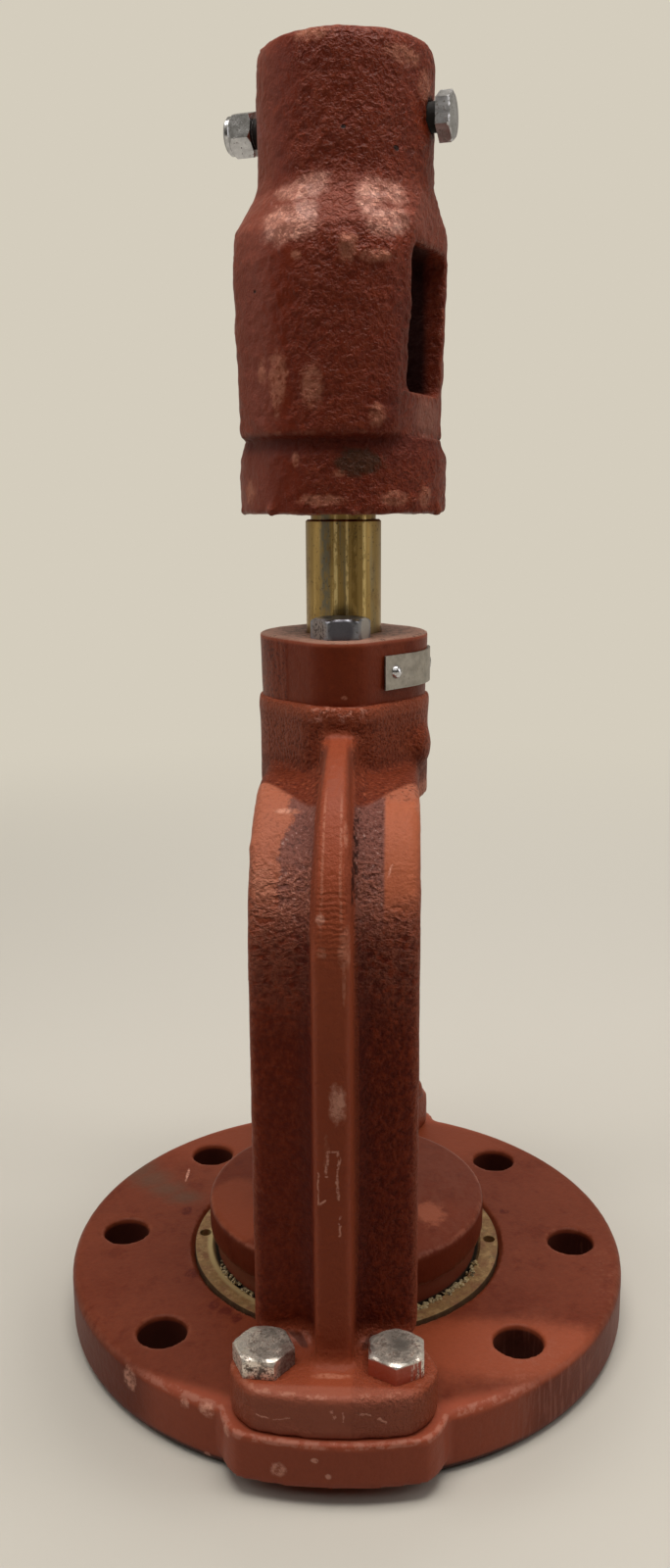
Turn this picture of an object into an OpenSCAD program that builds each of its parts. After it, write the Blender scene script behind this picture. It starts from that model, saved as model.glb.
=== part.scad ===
// Mud valve, 4 inch, non-rising stem, with a bolted yoke and an extension pipe coupling.
// Millimetres, +Z up the stem, origin at the centre of the flange's underside.
// The legs of the yoke stand at -Y (front) and +Y (back).

/* [Flange] */
// Outside diameter of the base flange
flange_d = 230.6; // [224:0.1:250]
// Thickness of the base flange
flange_t = 24; // [22:0.5:30]
// Rounding of the flange's outer edges
flange_edge = 2.5; // [0.5:0.5:4]
// Distance from the bolt holes' middles to the flange's edge
bolt_edge = 20.05; // [18:0.05:22]
// Diameter of the flange's bolt holes
bolt_hole_d = 19.05; // [16:0.05:21]
// Distance from the port to the flange's bore below the seat ring
flange_bore_step = 2.2; // [1:0.1:4]
// Reach of the lugs that carry the yoke, past the flange's edge
lug_out = 9.7; // [7:0.1:16]
// Width of each lug
lug_w = 80; // [77:0.5:84]
// Corner radius of the lugs
lug_corner = 20; // [10:0.5:22]
// Height of the lugs' underside above the floor
lug_lift = 4.5; // [2:0.5:8]

/* [Seat ring] */
// Port diameter of the seat ring
port_d = 101.6; // [98:0.1:103]
// Radial width of the seat ring
seat_w = 13.6; // [11.5:0.1:16]
// Height of the seat ring
seat_h = 16; // [10:0.5:18]
// Width of the seat ring's flat land
seat_land_w = 7.2; // [5:0.1:9]
// Width of the groove left round the seat ring
seat_groove_w = 1.8; // [0.5:0.1:3]
// Depth of that groove
seat_groove_depth = 2.5; // [1:0.5:6]
// Diameter of the two spanner holes
spanner_hole_d = 5; // [3:0.5:6]
// Depth of the spanner holes
spanner_hole_depth = 5; // [2:0.5:8]

/* [Yoke legs] */
// Distance from each leg's outer face to the foot bolts
leg_bolt_gap = 12.6; // [12:0.1:16]
// Thickness of each leg's web
web_t = 13; // [10:0.5:16]
// Width of each leg's web
web_w = 58; // [46:0.5:62]
// Radius of the web's long edges
web_edge = 4; // [1:0.5:5]
// Radius of the shoulder, at the web's outer face
shoulder_r = 50; // [40:0.5:54]
// Height of the shoulder's crown above the floor
crown_z = 235; // [225:0.5:240]
// Depth of the outer rib beyond the web
rib_depth = 14; // [10:0.5:15]
// Width of the outer rib
rib_w = 13; // [8:0.5:16]
// Radius of the rib's outer edges
rib_edge = 2.5; // [1:0.5:4]
// Fillet between rib and web
rib_fillet = 7; // [2:0.5:9]
// Width of the inner guide rib
guide_w = 13; // [8:0.5:16]
// Depth of the inner guide rib
guide_depth = 6; // [4:0.5:8]

/* [Yoke feet] */
// Distance from the lugs' front edge to the feet's
foot_set = 2.2; // [0:0.1:4]
// Width of each foot
foot_w = 73; // [70:0.5:76]
// Thickness of each foot
foot_t = 16.2; // [12:0.1:20]
// Corner radius of the feet
foot_corner = 20; // [10:0.5:22]
// Fillet between leg and foot
foot_fillet = 8; // [2:0.5:10]

/* [Yoke boss and cap] */
// Half-width of the yoke's boss
boss_r = 32.6; // [30:0.1:38]
// Depth of the boss's underside below the webs'
boss_sink = 2.6; // [1:0.1:6]
// Height of the joint between boss and cap above the shoulder's crown
boss_rise = 23; // [20:0.5:30]
// Radius of the boss's two noses
boss_nose_r = 17.5; // [16:0.5:20]
// Half-width of the cap
cap_r = 32.2; // [30:0.1:38]
// Thickness of the cap
cap_t = 25; // [18:0.5:30]
// Radius of the cap's two noses
cap_nose_r = 15; // [13:0.5:18]
// Distance from the axis to each cap bolt
cap_bolt_y = 26.5; // [25:0.1:30]

/* [Stem] */
// Diameter of the stem
stem_d = 28.575; // [25.4:0.025:30]
// Height of the stem's lower end above the floor
stem_low_z = 24; // [16:0.5:30]
// Bare length of stem between the cap and the stem's shoulder
stem_bare = 42; // [20:0.5:60]
// Diameter of the neck above the stem's shoulder
stem_neck_d = 24.6; // [22:0.1:25]
// Length of the neck that shows under the coupling
stem_neck_gap = 2.2; // [1:0.1:6]
// Across flats of the square that drives the coupling
stem_square = 17.4; // [14:0.1:17.4]
// Diameter of the stem's threaded top end
stem_end_d = 15.875; // [12:0.025:17]
// Diameter of the thrust collar
collar_d = 40; // [36:0.5:44]
// Thickness of the thrust collar
collar_t = 9.4; // [6:0.1:12]

/* [Coupling] */
// Diameter of the coupling's bottom collar
coupling_collar_d = 76.8; // [74:0.1:82]
// Height of the bottom collar
coupling_collar_h = 26.3; // [20:0.1:36]
// Diameter of the coupling's body
coupling_body_d = 81.6; // [78:0.1:88]
// Height of the body, from the collar to the shoulder
coupling_body_h = 58.5; // [54:0.5:76]
// Height of the sloping shoulder
coupling_shoulder_h = 28; // [12:0.5:32]
// Height of the shoulder's turn above the body
coupling_turn_h = 9.8; // [4:0.1:11]
// Width lost between the body and that turn
coupling_turn_in = 3.4; // [0.5:0.1:5]
// Diameter of the coupling's neck
coupling_neck_d = 62.8; // [58:0.1:64]
// Height of the neck
coupling_neck_h = 45; // [38:0.5:60]
// Distance from the axis to each flat, at the windows' middle
coupling_flat = 32.8; // [29:0.1:36]
// Draft of the flats, in degrees
coupling_flat_draft = 1.4; // [0:0.1:3]
// Offset of the neck from the stem's axis, as cast
neck_shift = 1.6; // [0:0.1:3]
// Bore of the pipe socket
socket_d = 49.4; // [48:0.1:52]
// Thickness of the coupling's floor
coupling_floor = 41; // [34:0.5:44]
// Width of the two windows
window_w = 36.6; // [20:0.1:42]
// Height of the two windows
window_h = 49; // [30:0.5:52]
// Height of the windows' sill above the coupling's floor
window_sill = 1; // [0.5:0.5:6]
// Corner radius of the windows
window_corner = 4; // [1:0.5:8]
// Angle of the windows about the stem, from +X
coupling_turn = -19; // [-90:1:90]

/* [Disc] */
// Reach of the disc past the upper edge of the seat's bevel
disc_over = 0.5; // [-1:0.1:2]
// Thickness of the disc's rim
disc_t = 13.8; // [10:0.1:18]
// Height of the disc's rim above the seat ring
disc_rise = 9; // [6:0.1:14]
// Crown of the disc's top, from rim to hub
disc_crown = 2.6; // [0.5:0.1:6]
// Diameter of the disc's hub
hub_d = 48; // [46:0.5:56]
// Height of the disc's hub above the rim
hub_h = 33; // [20:0.5:50]
// Fillet between hub and disc
hub_fillet = 8; // [2:0.5:12]
// Distance from the upper edge of the seat's bevel to the facing ring's rim
facing_set = 2.4; // [1.7:0.1:3.2]
// Width of the disc's facing ring
facing_w = 8; // [5:0.1:10]
// Outside diameter of the stem nut in the hub
nut_d = 38; // [34:0.5:40]
// Diameter of the stem nut's flange
nut_flange_d = 44; // [42:0.5:46]
// Thickness of the stem nut's flange
nut_flange_t = 4; // [2:0.5:8]
// Width of each prong of the guide forks
prong_w = 5; // [3:0.5:8]
// Bevel round the disc's top edge
disc_bevel = 1; // [0.5:0.1:3]
// Depth of the facing ring's bevelled rim
facing_rim = 3; // [2:0.1:4]

/* [Fasteners] */
// Width turned off a bolt head's rim, inside its flats
hex_bevel = 0.3; // [0.1:0.1:1]
// Slope of that bevel, as depth to width
hex_slope = 0.55; // [0.3:0.05:1]
// Across flats of the half-inch bolt heads
head_af = 19.05; // [18:0.05:20]
// Height of the half-inch bolt heads
head_h = 7.4; // [6:0.1:10]
// Diameter of the half-inch bolts
bolt_d = 12.7; // [10:0.1:13]
// Distance from the foot bolts to the feet's front edge
foot_bolt_edge = 18.2; // [17:0.1:19]
// Spacing of the two bolts in each foot
foot_bolt_spacing = 46; // [42:0.5:50]
// Offset of each foot's pair of bolts to the left, as drilled
foot_bolt_shift = 1.3; // [0:0.1:3]
// Turns of the two cap bolts' heads, front and back, as tightened
cap_bolt_turns = [33, 8]; // [0:1:60]
// Turns of the front foot bolts' heads, left and right
foot_bolt_front_turns = [-5, 30]; // [-10:1:60]
// Turns of the back foot bolts' heads, left and right
foot_bolt_back_turns = [12, 41]; // [0:1:60]
// Depth of the bolts' thread in the flange or boss
bolt_grip = 16; // [8:0.5:18]
// Diameter of the spot faces cut in the foot's fillet for the bolt heads
spot_d = 23.8; // [22.5:0.1:24.5]
// Bearing of the coupling bolt about the stem, from +X
cross_turn = -15; // [-90:1:90]
// Across flats of the coupling bolt's head
cross_head_af = 14.3; // [13:0.1:16]
// Height of the coupling bolt's head
cross_head_h = 5; // [4:0.1:8]
// Diameter of the coupling bolt
cross_bolt_d = 9.5; // [8:0.1:10.5]
// Length of the coupling bolt under its head
cross_bolt_l = 76.2; // [74:0.1:78]
// Distance from the coupling's top to the coupling bolt
cross_bolt_drop = 23.5; // [14:0.5:30]
// Slack between the coupling bolt's head and the neck
cross_head_slack = 2.7; // [0.2:0.1:3]
// Across flats of the lock nut
lock_nut_af = 14.3; // [14:0.1:16]
// Length of the lock nut
lock_nut_l = 11.2; // [10:0.1:13]
// Length of the lock nut's hexagon
lock_hex_l = 6.9; // [5:0.1:8]
// Length of the lock nut's round collar
lock_collar_l = 2.5; // [1.5:0.1:2.6]
// Depth of that collar inside the hexagon's flats
lock_collar_in = 0.5; // [0.3:0.1:0.8]
// Depth of the bevel at the lock nut's inner corners
lock_nut_bevel = 0.9; // [0.3:0.1:1.5]
// Rounding of the lock nut's outer end
lock_nut_round = 1.3; // [0.5:0.1:1.4]
// Slack between the lock nut and the neck
lock_nut_slack = 2.4; // [0.2:0.1:4]
// Turn of the lock nut's hexagon, as tightened
lock_nut_turn = 49; // [0:1:60]
// Diameter of the lock nut's insert
lock_insert_d = 11.6; // [11:0.1:12]
// Length of the lock nut's insert
lock_insert_l = 3.2; // [2:0.1:4]
// Depth of the lock nut's rim before the insert
lock_insert_deep = 0.6; // [0.2:0.1:1]
// Across flats of the nut on the stem's top end
top_nut_af = 23.8; // [20:0.1:26]
// Height of the nut on the stem's top end
top_nut_h = 13.9; // [8:0.1:16]
// Diameter of the washer under that nut
top_washer_d = 36; // [30:0.5:44]
// Thickness of that washer
top_washer_t = 2.5; // [1:0.1:4]
// Length of thread past that nut
top_thread_past = 4; // [1:0.5:8]

/* [Nameplate] */
// Height of the nameplate
plate_h = 12.5; // [8:0.5:16]
// Thickness of the nameplate
plate_t = 1; // [0.5:0.1:2]
// Height of the nameplate's middle above the cap's underside
plate_mid = 12.6; // [10:0.1:15]
// Bearing of the nameplate's front end, from +X
plate_front_angle = -62.5; // [-66:0.5:-50]
// Bearing of the nameplate's side end, from +X
plate_side_angle = 10; // [4:0.5:20]
// Bearing of the side rivet, from +X
rivet_side_angle = 4; // [0:0.5:6]
// Distance of the front rivet along the flank, from the cap's round side
rivet_along = 7.5; // [5:0.1:9]
// Diameter of the rivets' heads
rivet_head_d = 5; // [3:0.1:6]
// Height of the rivets' heads
rivet_head_h = 1.8; // [1:0.1:2.4]
// Diameter of the rivets' shanks
rivet_d = 2.6; // [1.6:0.1:2.8]
// Length of the rivets' shanks in the cap
rivet_grip = 6; // [3:0.5:10]

/* [Clearances] */
// Radial clearance of the stem in its bores
stem_fit = 0.05; // [0.02:0.01:0.09]
// Clearance round pieces that are fixed in a bore
seat_fit = 0.05; // [0.02:0.01:0.1]
// Radial clearance of a bolt in a drilled hole
bolt_fit = 0.6; // [0.2:0.1:1]
// Clearance at each end of the thrust collar
collar_fit = 0.3; // [0.1:0.1:0.6]
// Gap between the facing ring and the seat ring's bevel
seal_gap = 0.3; // [0.2:0.1:0.6]
// Clearance between the disc's forks and the guide ribs
guide_gap = 2; // [1:0.5:3]

/* [Hidden] */
$fn = 96;
// Overlap that makes two joined shapes one
join = 0.5;
// Overshoot of a cut past the face that it opens
past = 1;

// Bearings of the flange's bolt holes: a circle of eight, without the two under the yoke
hole_angles = [for (i = [0 : 7]) if (i % 4 != 2) 45 * i];

// Radii
stem_r = stem_d / 2;
port_r = port_d / 2;
flange_bore_r = port_r + flange_bore_step;
seat_r = port_r + seat_w;
bevel_top_r = seat_r - seat_land_w;
disc_r = bevel_top_r + disc_over;
facing_r = bevel_top_r - facing_set;
facing_in_r = facing_r - facing_w;
bolt_r = bolt_d / 2;
cross_r = cross_bolt_d / 2;
neck_r = coupling_neck_d / 2;
socket_r = socket_d / 2;

// Reaches from the axis
bolt_circle_r = flange_d / 2 - bolt_edge;
lug_reach = flange_d / 2 + lug_out;
foot_reach = lug_reach - foot_set;
foot_bolt_y = foot_reach - foot_bolt_edge;
leg_out = foot_bolt_y - leg_bolt_gap;
leg_in = leg_out - web_t;
arch_y = leg_out - shoulder_r;

// Heights
seat_low_z = flange_t - seat_h;
foot_top_z = flange_t + foot_t;
arch_z = crown_z - shoulder_r;
boss_low_z = crown_z - web_t - boss_sink;
boss_top_z = crown_z + boss_rise;
cap_top_z = boss_top_z + cap_t;
stem_shoulder_z = cap_top_z + stem_bare;
coupling_z = stem_shoulder_z + stem_neck_gap;
floor_z = coupling_z + coupling_floor;
body_z = coupling_z + coupling_collar_h;
shoulder_z = body_z + coupling_body_h;
neck_z = shoulder_z + coupling_shoulder_h;
top_z = neck_z + coupling_neck_h;
cross_z = top_z - cross_bolt_drop;
disc_low_z = flange_t + disc_rise;
disc_top_z = disc_low_z + disc_t;
hub_top_z = disc_top_z + hub_h;
top_nut_z = floor_z + top_washer_t;
stem_top_z = top_nut_z + top_nut_h + top_thread_past;
collar_low_z = boss_top_z - collar_t - collar_fit;
pocket_low_z = collar_low_z - collar_fit;
plate_z = boss_top_z + plate_mid - plate_h / 2;

// Places along the coupling bolt, from the neck's axis
cross_head_x = neck_r + cross_head_slack;
lock_nut_x = neck_r + lock_nut_slack;
lock_insert_z = lock_nut_l - lock_insert_l - lock_insert_deep;
lock_insert_r = lock_insert_d / 2;

// Height of the slices that the coupling's shoulder is stretched over
shoulder_step = 0.5;

// Paint and metals
iron_red = [0.42, 0.17, 0.13];
bronze = [0.66, 0.58, 0.40];
brass = [0.60, 0.50, 0.28];
zinc = [0.66, 0.67, 0.68];
tin = [0.72, 0.71, 0.68];

// Rounded oblong, its front edge on the line y = reach
module oblong(reach, w, corner, back) {
  for (s = [-1, 1])
    translate([s * (w / 2 - corner), reach - corner]) circle(r = corner);
  translate([corner - w / 2, back]) square([w - 2 * corner, reach - back]);
  translate([-w / 2, back]) square([w, reach - corner - back]);
}

// Plan of a lug or foot: an oblong that follows the flange's roundness at its front
module tongue(reach, w, corner, back) {
  intersection() {
    circle(r = reach, $fn = 180);
    oblong(reach, w, corner, back);
  }
}

// Plan of boss and cap: a round middle with a nose towards each leg
module lozenge(r, nose_r, nose_y) {
  lean = acos((r - nose_r) / nose_y);
  flank = [sin(lean), cos(lean)];
  circle(r = r);
  for (m = [0, 1]) mirror([0, m]) {
    translate([0, nose_y]) circle(r = nose_r);
    polygon([
      [r * flank[0], r * flank[1]],
      [nose_r * flank[0], nose_y + nose_r * flank[1]],
      [-nose_r * flank[0], nose_y + nose_r * flank[1]],
      [-r * flank[0], r * flank[1]]
    ]);
  }
}

module cap_plan(grow = 0) {
  lozenge(cap_r + grow, cap_nose_r + grow, cap_bolt_y);
}

module boss_plan() {
  lozenge(boss_r, boss_nose_r, cap_bolt_y);
}

// Turns a profile drawn as (y, z) into a solid of width w, centred on x = 0
module across(w) {
  rotate([90, 0, 90]) linear_extrude(w, center = true) children();
}

// Places its child at each of the two legs
module each_leg() {
  for (s = [0, 1]) mirror([0, s, 0]) children();
}

// Concave corner between two faces, drawn in the first quadrant
module fillet(r) {
  difference() {
    translate([-join, -join]) square(r + join);
    translate([r, r]) circle(r = r);
  }
}

// Hexagonal prism along +Z with its upper rim turned back
module hex(af, h) {
  corner_r = af / sqrt(3);
  rim = corner_r - af / 2 + hex_bevel;
  intersection() {
    cylinder(r = corner_r, h = h, $fn = 6);
    rotate_extrude() polygon([
      [0, 0], [corner_r, 0],
      [corner_r, h - rim * hex_slope],
      [corner_r - rim, h],
      [0, h]
    ]);
  }
}

// Bolt whose head stands on z = 0 and whose shank hangs below
module bolt(af, head, d, length) {
  hex(af, head);
  translate([0, 0, -length]) cylinder(d = d, h = length + join);
}

// Base: the flange, its lugs, and the holes for port, seat ring and bolts
module base_flange() {
  color(iron_red) difference() {
    union() {
      rotate_extrude($fn = 180) flange_profile();
      each_leg() translate([0, 0, lug_lift]) linear_extrude(flange_t - lug_lift)
        tongue(lug_reach, lug_w, lug_corner, seat_r + lug_corner);
    }
    translate([0, 0, -past]) cylinder(r = flange_bore_r, h = flange_t + 2 * past);
    translate([0, 0, seat_low_z]) cylinder(r = seat_r + seat_fit, h = seat_h + past);
    translate([0, 0, flange_t - seat_groove_depth])
      cylinder(r = seat_r + seat_groove_w, h = seat_groove_depth + past);
    for (a = hole_angles) rotate(a) translate([bolt_circle_r, 0, -past])
      cylinder(d = bolt_hole_d, h = flange_t + 2 * past);
    foot_bolt_places() translate([0, 0, flange_t - bolt_grip - past])
      cylinder(r = bolt_r + seat_fit, h = bolt_grip + 2 * past);
  }
}

module flange_profile() {
  r = flange_d / 2;
  e = flange_edge;
  // Where a rounded edge of radius e stands on its diagonal
  mid = e * (1 - cos(45));
  polygon([
    [0, 0], [r - e, 0],
    [r - mid, mid], [r, e],
    [r, flange_t - e], [r - mid, flange_t - mid],
    [r - e, flange_t], [0, flange_t]
  ]);
}

module foot_bolt_places() {
  for (sx = [-1, 1], sy = [-1, 1])
    translate([sx * foot_bolt_spacing / 2 - foot_bolt_shift, sy * foot_bolt_y]) children();
}

// Ring with a flat land and a bevelled seat, let into the flange
module seat_ring() {
  color(bronze) difference() {
    rotate_extrude($fn = 180) polygon([
      [port_r, seat_low_z], [seat_r, seat_low_z],
      [seat_r, flange_t], [bevel_top_r, flange_t],
      [port_r, flange_t - (bevel_top_r - port_r)]
    ]);
    for (s = [-1, 1])
      translate([s * (seat_r - seat_land_w / 2), 0, flange_t - spanner_hole_depth])
        cylinder(d = spanner_hole_d, h = spanner_hole_depth + past, $fn = 32);
  }
}

// Cross-section of a leg: (distance from the shoulder's axis, distance across the leg)
module leg_section() {
  web_section();
  translate([shoulder_r - join, -rib_w / 2]) square([rib_depth + join - rib_edge, rib_w]);
  translate([shoulder_r, rib_edge - rib_w / 2]) square([rib_depth, rib_w - 2 * rib_edge]);
  for (m = [0, 1]) mirror([0, m]) {
    translate([shoulder_r + rib_depth - rib_edge, rib_w / 2 - rib_edge])
      circle(r = rib_edge, $fn = 32);
    translate([shoulder_r, rib_w / 2]) fillet(rib_fillet, $fn = 48);
  }
}

module web_section() {
  in_r = shoulder_r - web_t;
  translate([in_r, web_edge - web_w / 2]) square([web_t, web_w - 2 * web_edge]);
  translate([in_r + web_edge, -web_w / 2]) square([web_t - 2 * web_edge, web_w]);
  for (sx = [0, 1], sy = [-1, 1])
    translate([in_r + web_edge + sx * (web_t - 2 * web_edge), sy * (web_w / 2 - web_edge)])
      circle(r = web_edge, $fn = 32);
}

// One leg: foot, straight web and rib, shoulder, and the guide rib inside
module leg() {
  translate([0, 0, flange_t]) linear_extrude(foot_t)
    tongue(foot_reach, foot_w, foot_corner, leg_in);
  translate([0, arch_y, foot_top_z - join]) linear_extrude(arch_z - foot_top_z + join)
    rotate(90) leg_section();
  translate([0, arch_y, arch_z]) rotate([90, 0, 90]) rotate_extrude(angle = 90) leg_section();
  translate([0, arch_y, arch_z]) rotate([90, 0, 0]) linear_extrude(arch_y + join)
    rotate(90) web_section();
  translate([-guide_w / 2, leg_in - guide_depth, flange_t])
    cube([guide_w, guide_depth + join, arch_z - flange_t]);
  across(web_w - 2 * web_edge) translate([leg_out, foot_top_z]) fillet(foot_fillet);
  across(rib_w) translate([leg_out + rib_depth, foot_top_z]) fillet(foot_fillet / 2);
}

// Casting of two legs and a boss, bored for the stem and its thrust collar
module yoke() {
  color(iron_red) difference() {
    union() {
      each_leg() leg();
      translate([0, 0, boss_low_z]) linear_extrude(boss_top_z - boss_low_z) boss_plan();
    }
    translate([0, 0, boss_low_z - past])
      cylinder(r = stem_r + stem_fit, h = boss_top_z - boss_low_z + 2 * past);
    translate([0, 0, pocket_low_z])
      cylinder(r = collar_d / 2 + collar_fit, h = boss_top_z - pocket_low_z + past);
    for (s = [-1, 1]) translate([0, s * cap_bolt_y, boss_top_z - bolt_grip - past])
      cylinder(r = bolt_r + seat_fit, h = bolt_grip + 2 * past);
    foot_bolt_places() translate([0, 0, flange_t - past])
      cylinder(r = bolt_r + bolt_fit, h = foot_t + head_h + foot_fillet);
    foot_bolt_places() translate([0, 0, foot_top_z])
      cylinder(d = spot_d, h = foot_fillet + past);
  }
}

// Cap that holds the stem's collar down in the boss
module yoke_cap() {
  color(iron_red) difference() {
    translate([0, 0, boss_top_z]) linear_extrude(cap_t) cap_plan();
    translate([0, 0, boss_top_z - past]) cylinder(r = stem_r + stem_fit, h = cap_t + 2 * past);
    for (s = [-1, 1]) translate([0, s * cap_bolt_y, boss_top_z - past])
      cylinder(r = bolt_r + bolt_fit, h = cap_t + 2 * past);
    rivet_places() translate([0, 0, -rivet_grip - past])
      cylinder(d = rivet_d + 2 * seat_fit, h = rivet_grip + 3 * past, $fn = 32);
  }
}

// Bolt of the cap: front at side = 0, back at side = 1
module cap_bolt(side) {
  color(zinc) translate([0, (2 * side - 1) * cap_bolt_y, cap_top_z]) rotate(cap_bolt_turns[side])
    bolt(head_af, head_h, bolt_d, cap_t + bolt_grip);
}

// Bolt of a foot: front at side = 0, back at side = 1, left at hand = 0, right at hand = 1
module foot_bolt(side, hand) {
  x = (2 * hand - 1) * foot_bolt_spacing / 2 - foot_bolt_shift;
  turns = side == 0 ? foot_bolt_front_turns : foot_bolt_back_turns;
  color(tin) translate([x, (2 * side - 1) * foot_bolt_y, foot_top_z])
    rotate(turns[hand]) bolt(head_af, head_h, bolt_d, foot_t + bolt_grip);
}

// Direction in which the cap's front right flank faces
function flank_angle() = -90 + acos((cap_r - cap_nose_r) / cap_bolt_y);

// Frames on the cap's wall for the two rivets: +Z points out of the wall
module rivet_place_front() {
  a = flank_angle();
  rotate(a) translate([cap_r, -rivet_along, boss_top_z + plate_mid])
    rotate([0, 90, 0]) children();
}

module rivet_place_side() {
  rotate(rivet_side_angle) translate([cap_r, 0, boss_top_z + plate_mid])
    rotate([0, 90, 0]) children();
}

module rivet_places() {
  rivet_place_front() children();
  rivet_place_side() children();
}

// Blank plate bent round the cap's wall
module nameplate() {
  reach = 3 * cap_r;
  color(tin) difference() {
    translate([0, 0, plate_z]) linear_extrude(plate_h) intersection() {
      difference() {
        cap_plan(seat_fit + plate_t);
        cap_plan(seat_fit);
      }
      polygon([
        [0, 0],
        reach * [cos(plate_front_angle), sin(plate_front_angle)],
        reach * [cos(plate_front_angle / 2), sin(plate_front_angle / 2)],
        reach * [cos(plate_side_angle), sin(plate_side_angle)]
      ]);
    }
    rivet_places() translate([0, 0, -past])
      cylinder(d = rivet_d + 2 * seat_fit, h = plate_t + 3 * past, $fn = 32);
  }
}

// Dome-headed rivet whose head stands on the plate
module rivet() {
  dome_r = (rivet_head_d * rivet_head_d / 4 + rivet_head_h * rivet_head_h) / (2 * rivet_head_h);
  seat = plate_t + 2 * seat_fit;
  color(zinc) union() {
    translate([0, 0, -rivet_grip]) cylinder(d = rivet_d, h = rivet_grip + seat + join, $fn = 32);
    intersection() {
      translate([0, 0, seat + rivet_head_h - dome_r]) sphere(r = dome_r, $fn = 48);
      translate([0, 0, seat]) cylinder(d = rivet_head_d + past, h = rivet_head_h + past, $fn = 48);
    }
  }
}

// Stem: plain shank with its thrust collar, neck, driving square and threaded end
module stem() {
  square_z = coupling_z + 2 * join;
  color(brass) union() {
    translate([0, 0, stem_low_z]) cylinder(r = stem_r, h = stem_shoulder_z - stem_low_z);
    translate([0, 0, collar_low_z]) cylinder(d = collar_d, h = collar_t);
    translate([0, 0, stem_shoulder_z - join])
      cylinder(d = stem_neck_d, h = stem_neck_gap - 2 * seat_fit + join);
    rotate(coupling_turn) translate([-stem_square / 2, -stem_square / 2, stem_shoulder_z])
      cube([stem_square, stem_square, floor_z - stem_shoulder_z - seat_fit]);
    translate([0, 0, square_z]) cylinder(d = stem_end_d, h = stem_top_z - square_z);
  }
}

// Outer form of the coupling, before its flats
module coupling_form() {
  translate([0, 0, coupling_z]) cylinder(d = coupling_collar_d, h = coupling_collar_h);
  translate([0, 0, body_z]) cylinder(d = coupling_body_d, h = coupling_body_h);
  translate([neck_shift, 0, neck_z]) cylinder(r = neck_r, h = coupling_neck_h);
  hull() {
    translate([0, 0, shoulder_z]) cylinder(d = coupling_body_d, h = shoulder_step);
    translate([0, 0, shoulder_z + coupling_turn_h])
      cylinder(d = coupling_body_d - coupling_turn_in, h = shoulder_step);
    translate([neck_shift, 0, neck_z - shoulder_step]) cylinder(r = neck_r, h = shoulder_step);
  }
}

// Round casting that joins the stem to an extension pipe
module coupling() {
  hole = stem_square + 2 * seat_fit;
  color(iron_red) rotate(coupling_turn) difference() {
    coupling_form();
    translate([neck_shift, 0, floor_z]) cylinder(r = socket_r, h = top_z - floor_z + past);
    translate([-hole / 2, -hole / 2, coupling_z - past]) cube([hole, hole, coupling_floor + 2 * past]);
    for (s = [0, 1]) mirror([s, 0, 0]) {
      flat_cut();
      window();
    }
    translate([neck_shift, 0, cross_z]) rotate([0, 90, cross_turn - coupling_turn])
      cylinder(r = cross_r + bolt_fit / 2, h = coupling_body_d, center = true);
  }
}

// Cutter for one flat: a drafted plane that rises from the bottom collar
module flat_cut() {
  intersection() {
    translate([coupling_flat, 0, floor_z + window_sill + window_h / 2])
      rotate([0, coupling_flat_draft, 0]) translate([0, -coupling_body_d, -top_z / 2])
        cube([coupling_body_d, 2 * coupling_body_d, top_z]);
    translate([0, -coupling_body_d, body_z])
      cube([2 * coupling_body_d, 2 * coupling_body_d, neck_z - body_z]);
  }
}

// Cutter for one window, running from the socket out past the flat
module window() {
  c = window_corner;
  translate([0, 0, floor_z + window_sill]) rotate([90, 0, 90]) linear_extrude(coupling_body_d) {
    for (u = [c - window_w / 2, window_w / 2 - c], v = [c, window_h - c])
      translate([u, v]) circle(r = c, $fn = 32);
    translate([c - window_w / 2, 0]) square([window_w - 2 * c, window_h]);
    translate([-window_w / 2, c]) square([window_w, window_h - 2 * c]);
  }
}

module stem_top_washer() {
  color(zinc) translate([0, 0, floor_z]) difference() {
    cylinder(d = top_washer_d, h = top_washer_t);
    translate([0, 0, -past]) cylinder(d = stem_end_d + 2 * bolt_fit, h = top_washer_t + 2 * past);
  }
}

module stem_top_nut() {
  color(brass) translate([0, 0, top_nut_z]) difference() {
    hex(top_nut_af, top_nut_h);
    translate([0, 0, -past]) cylinder(d = stem_end_d + 2 * seat_fit, h = top_nut_h + 2 * past);
  }
}

// Frame at the middle of the coupling bolt: +Z runs towards its head
module cross_frame() {
  rotate(coupling_turn) translate([neck_shift, 0, cross_z])
    rotate([0, 90, cross_turn - coupling_turn]) children();
}

module coupling_bolt() {
  color(zinc) cross_frame() translate([0, 0, cross_head_x])
    bolt(cross_head_af, cross_head_h, cross_bolt_d, cross_bolt_l);
}

// Frame on the lock nut's inner face: +Z runs away from the neck, +X to a corner
module lock_nut_frame() {
  cross_frame() translate([0, 0, -lock_nut_x]) mirror([0, 0, 1]) rotate(lock_nut_turn) children();
}

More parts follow.
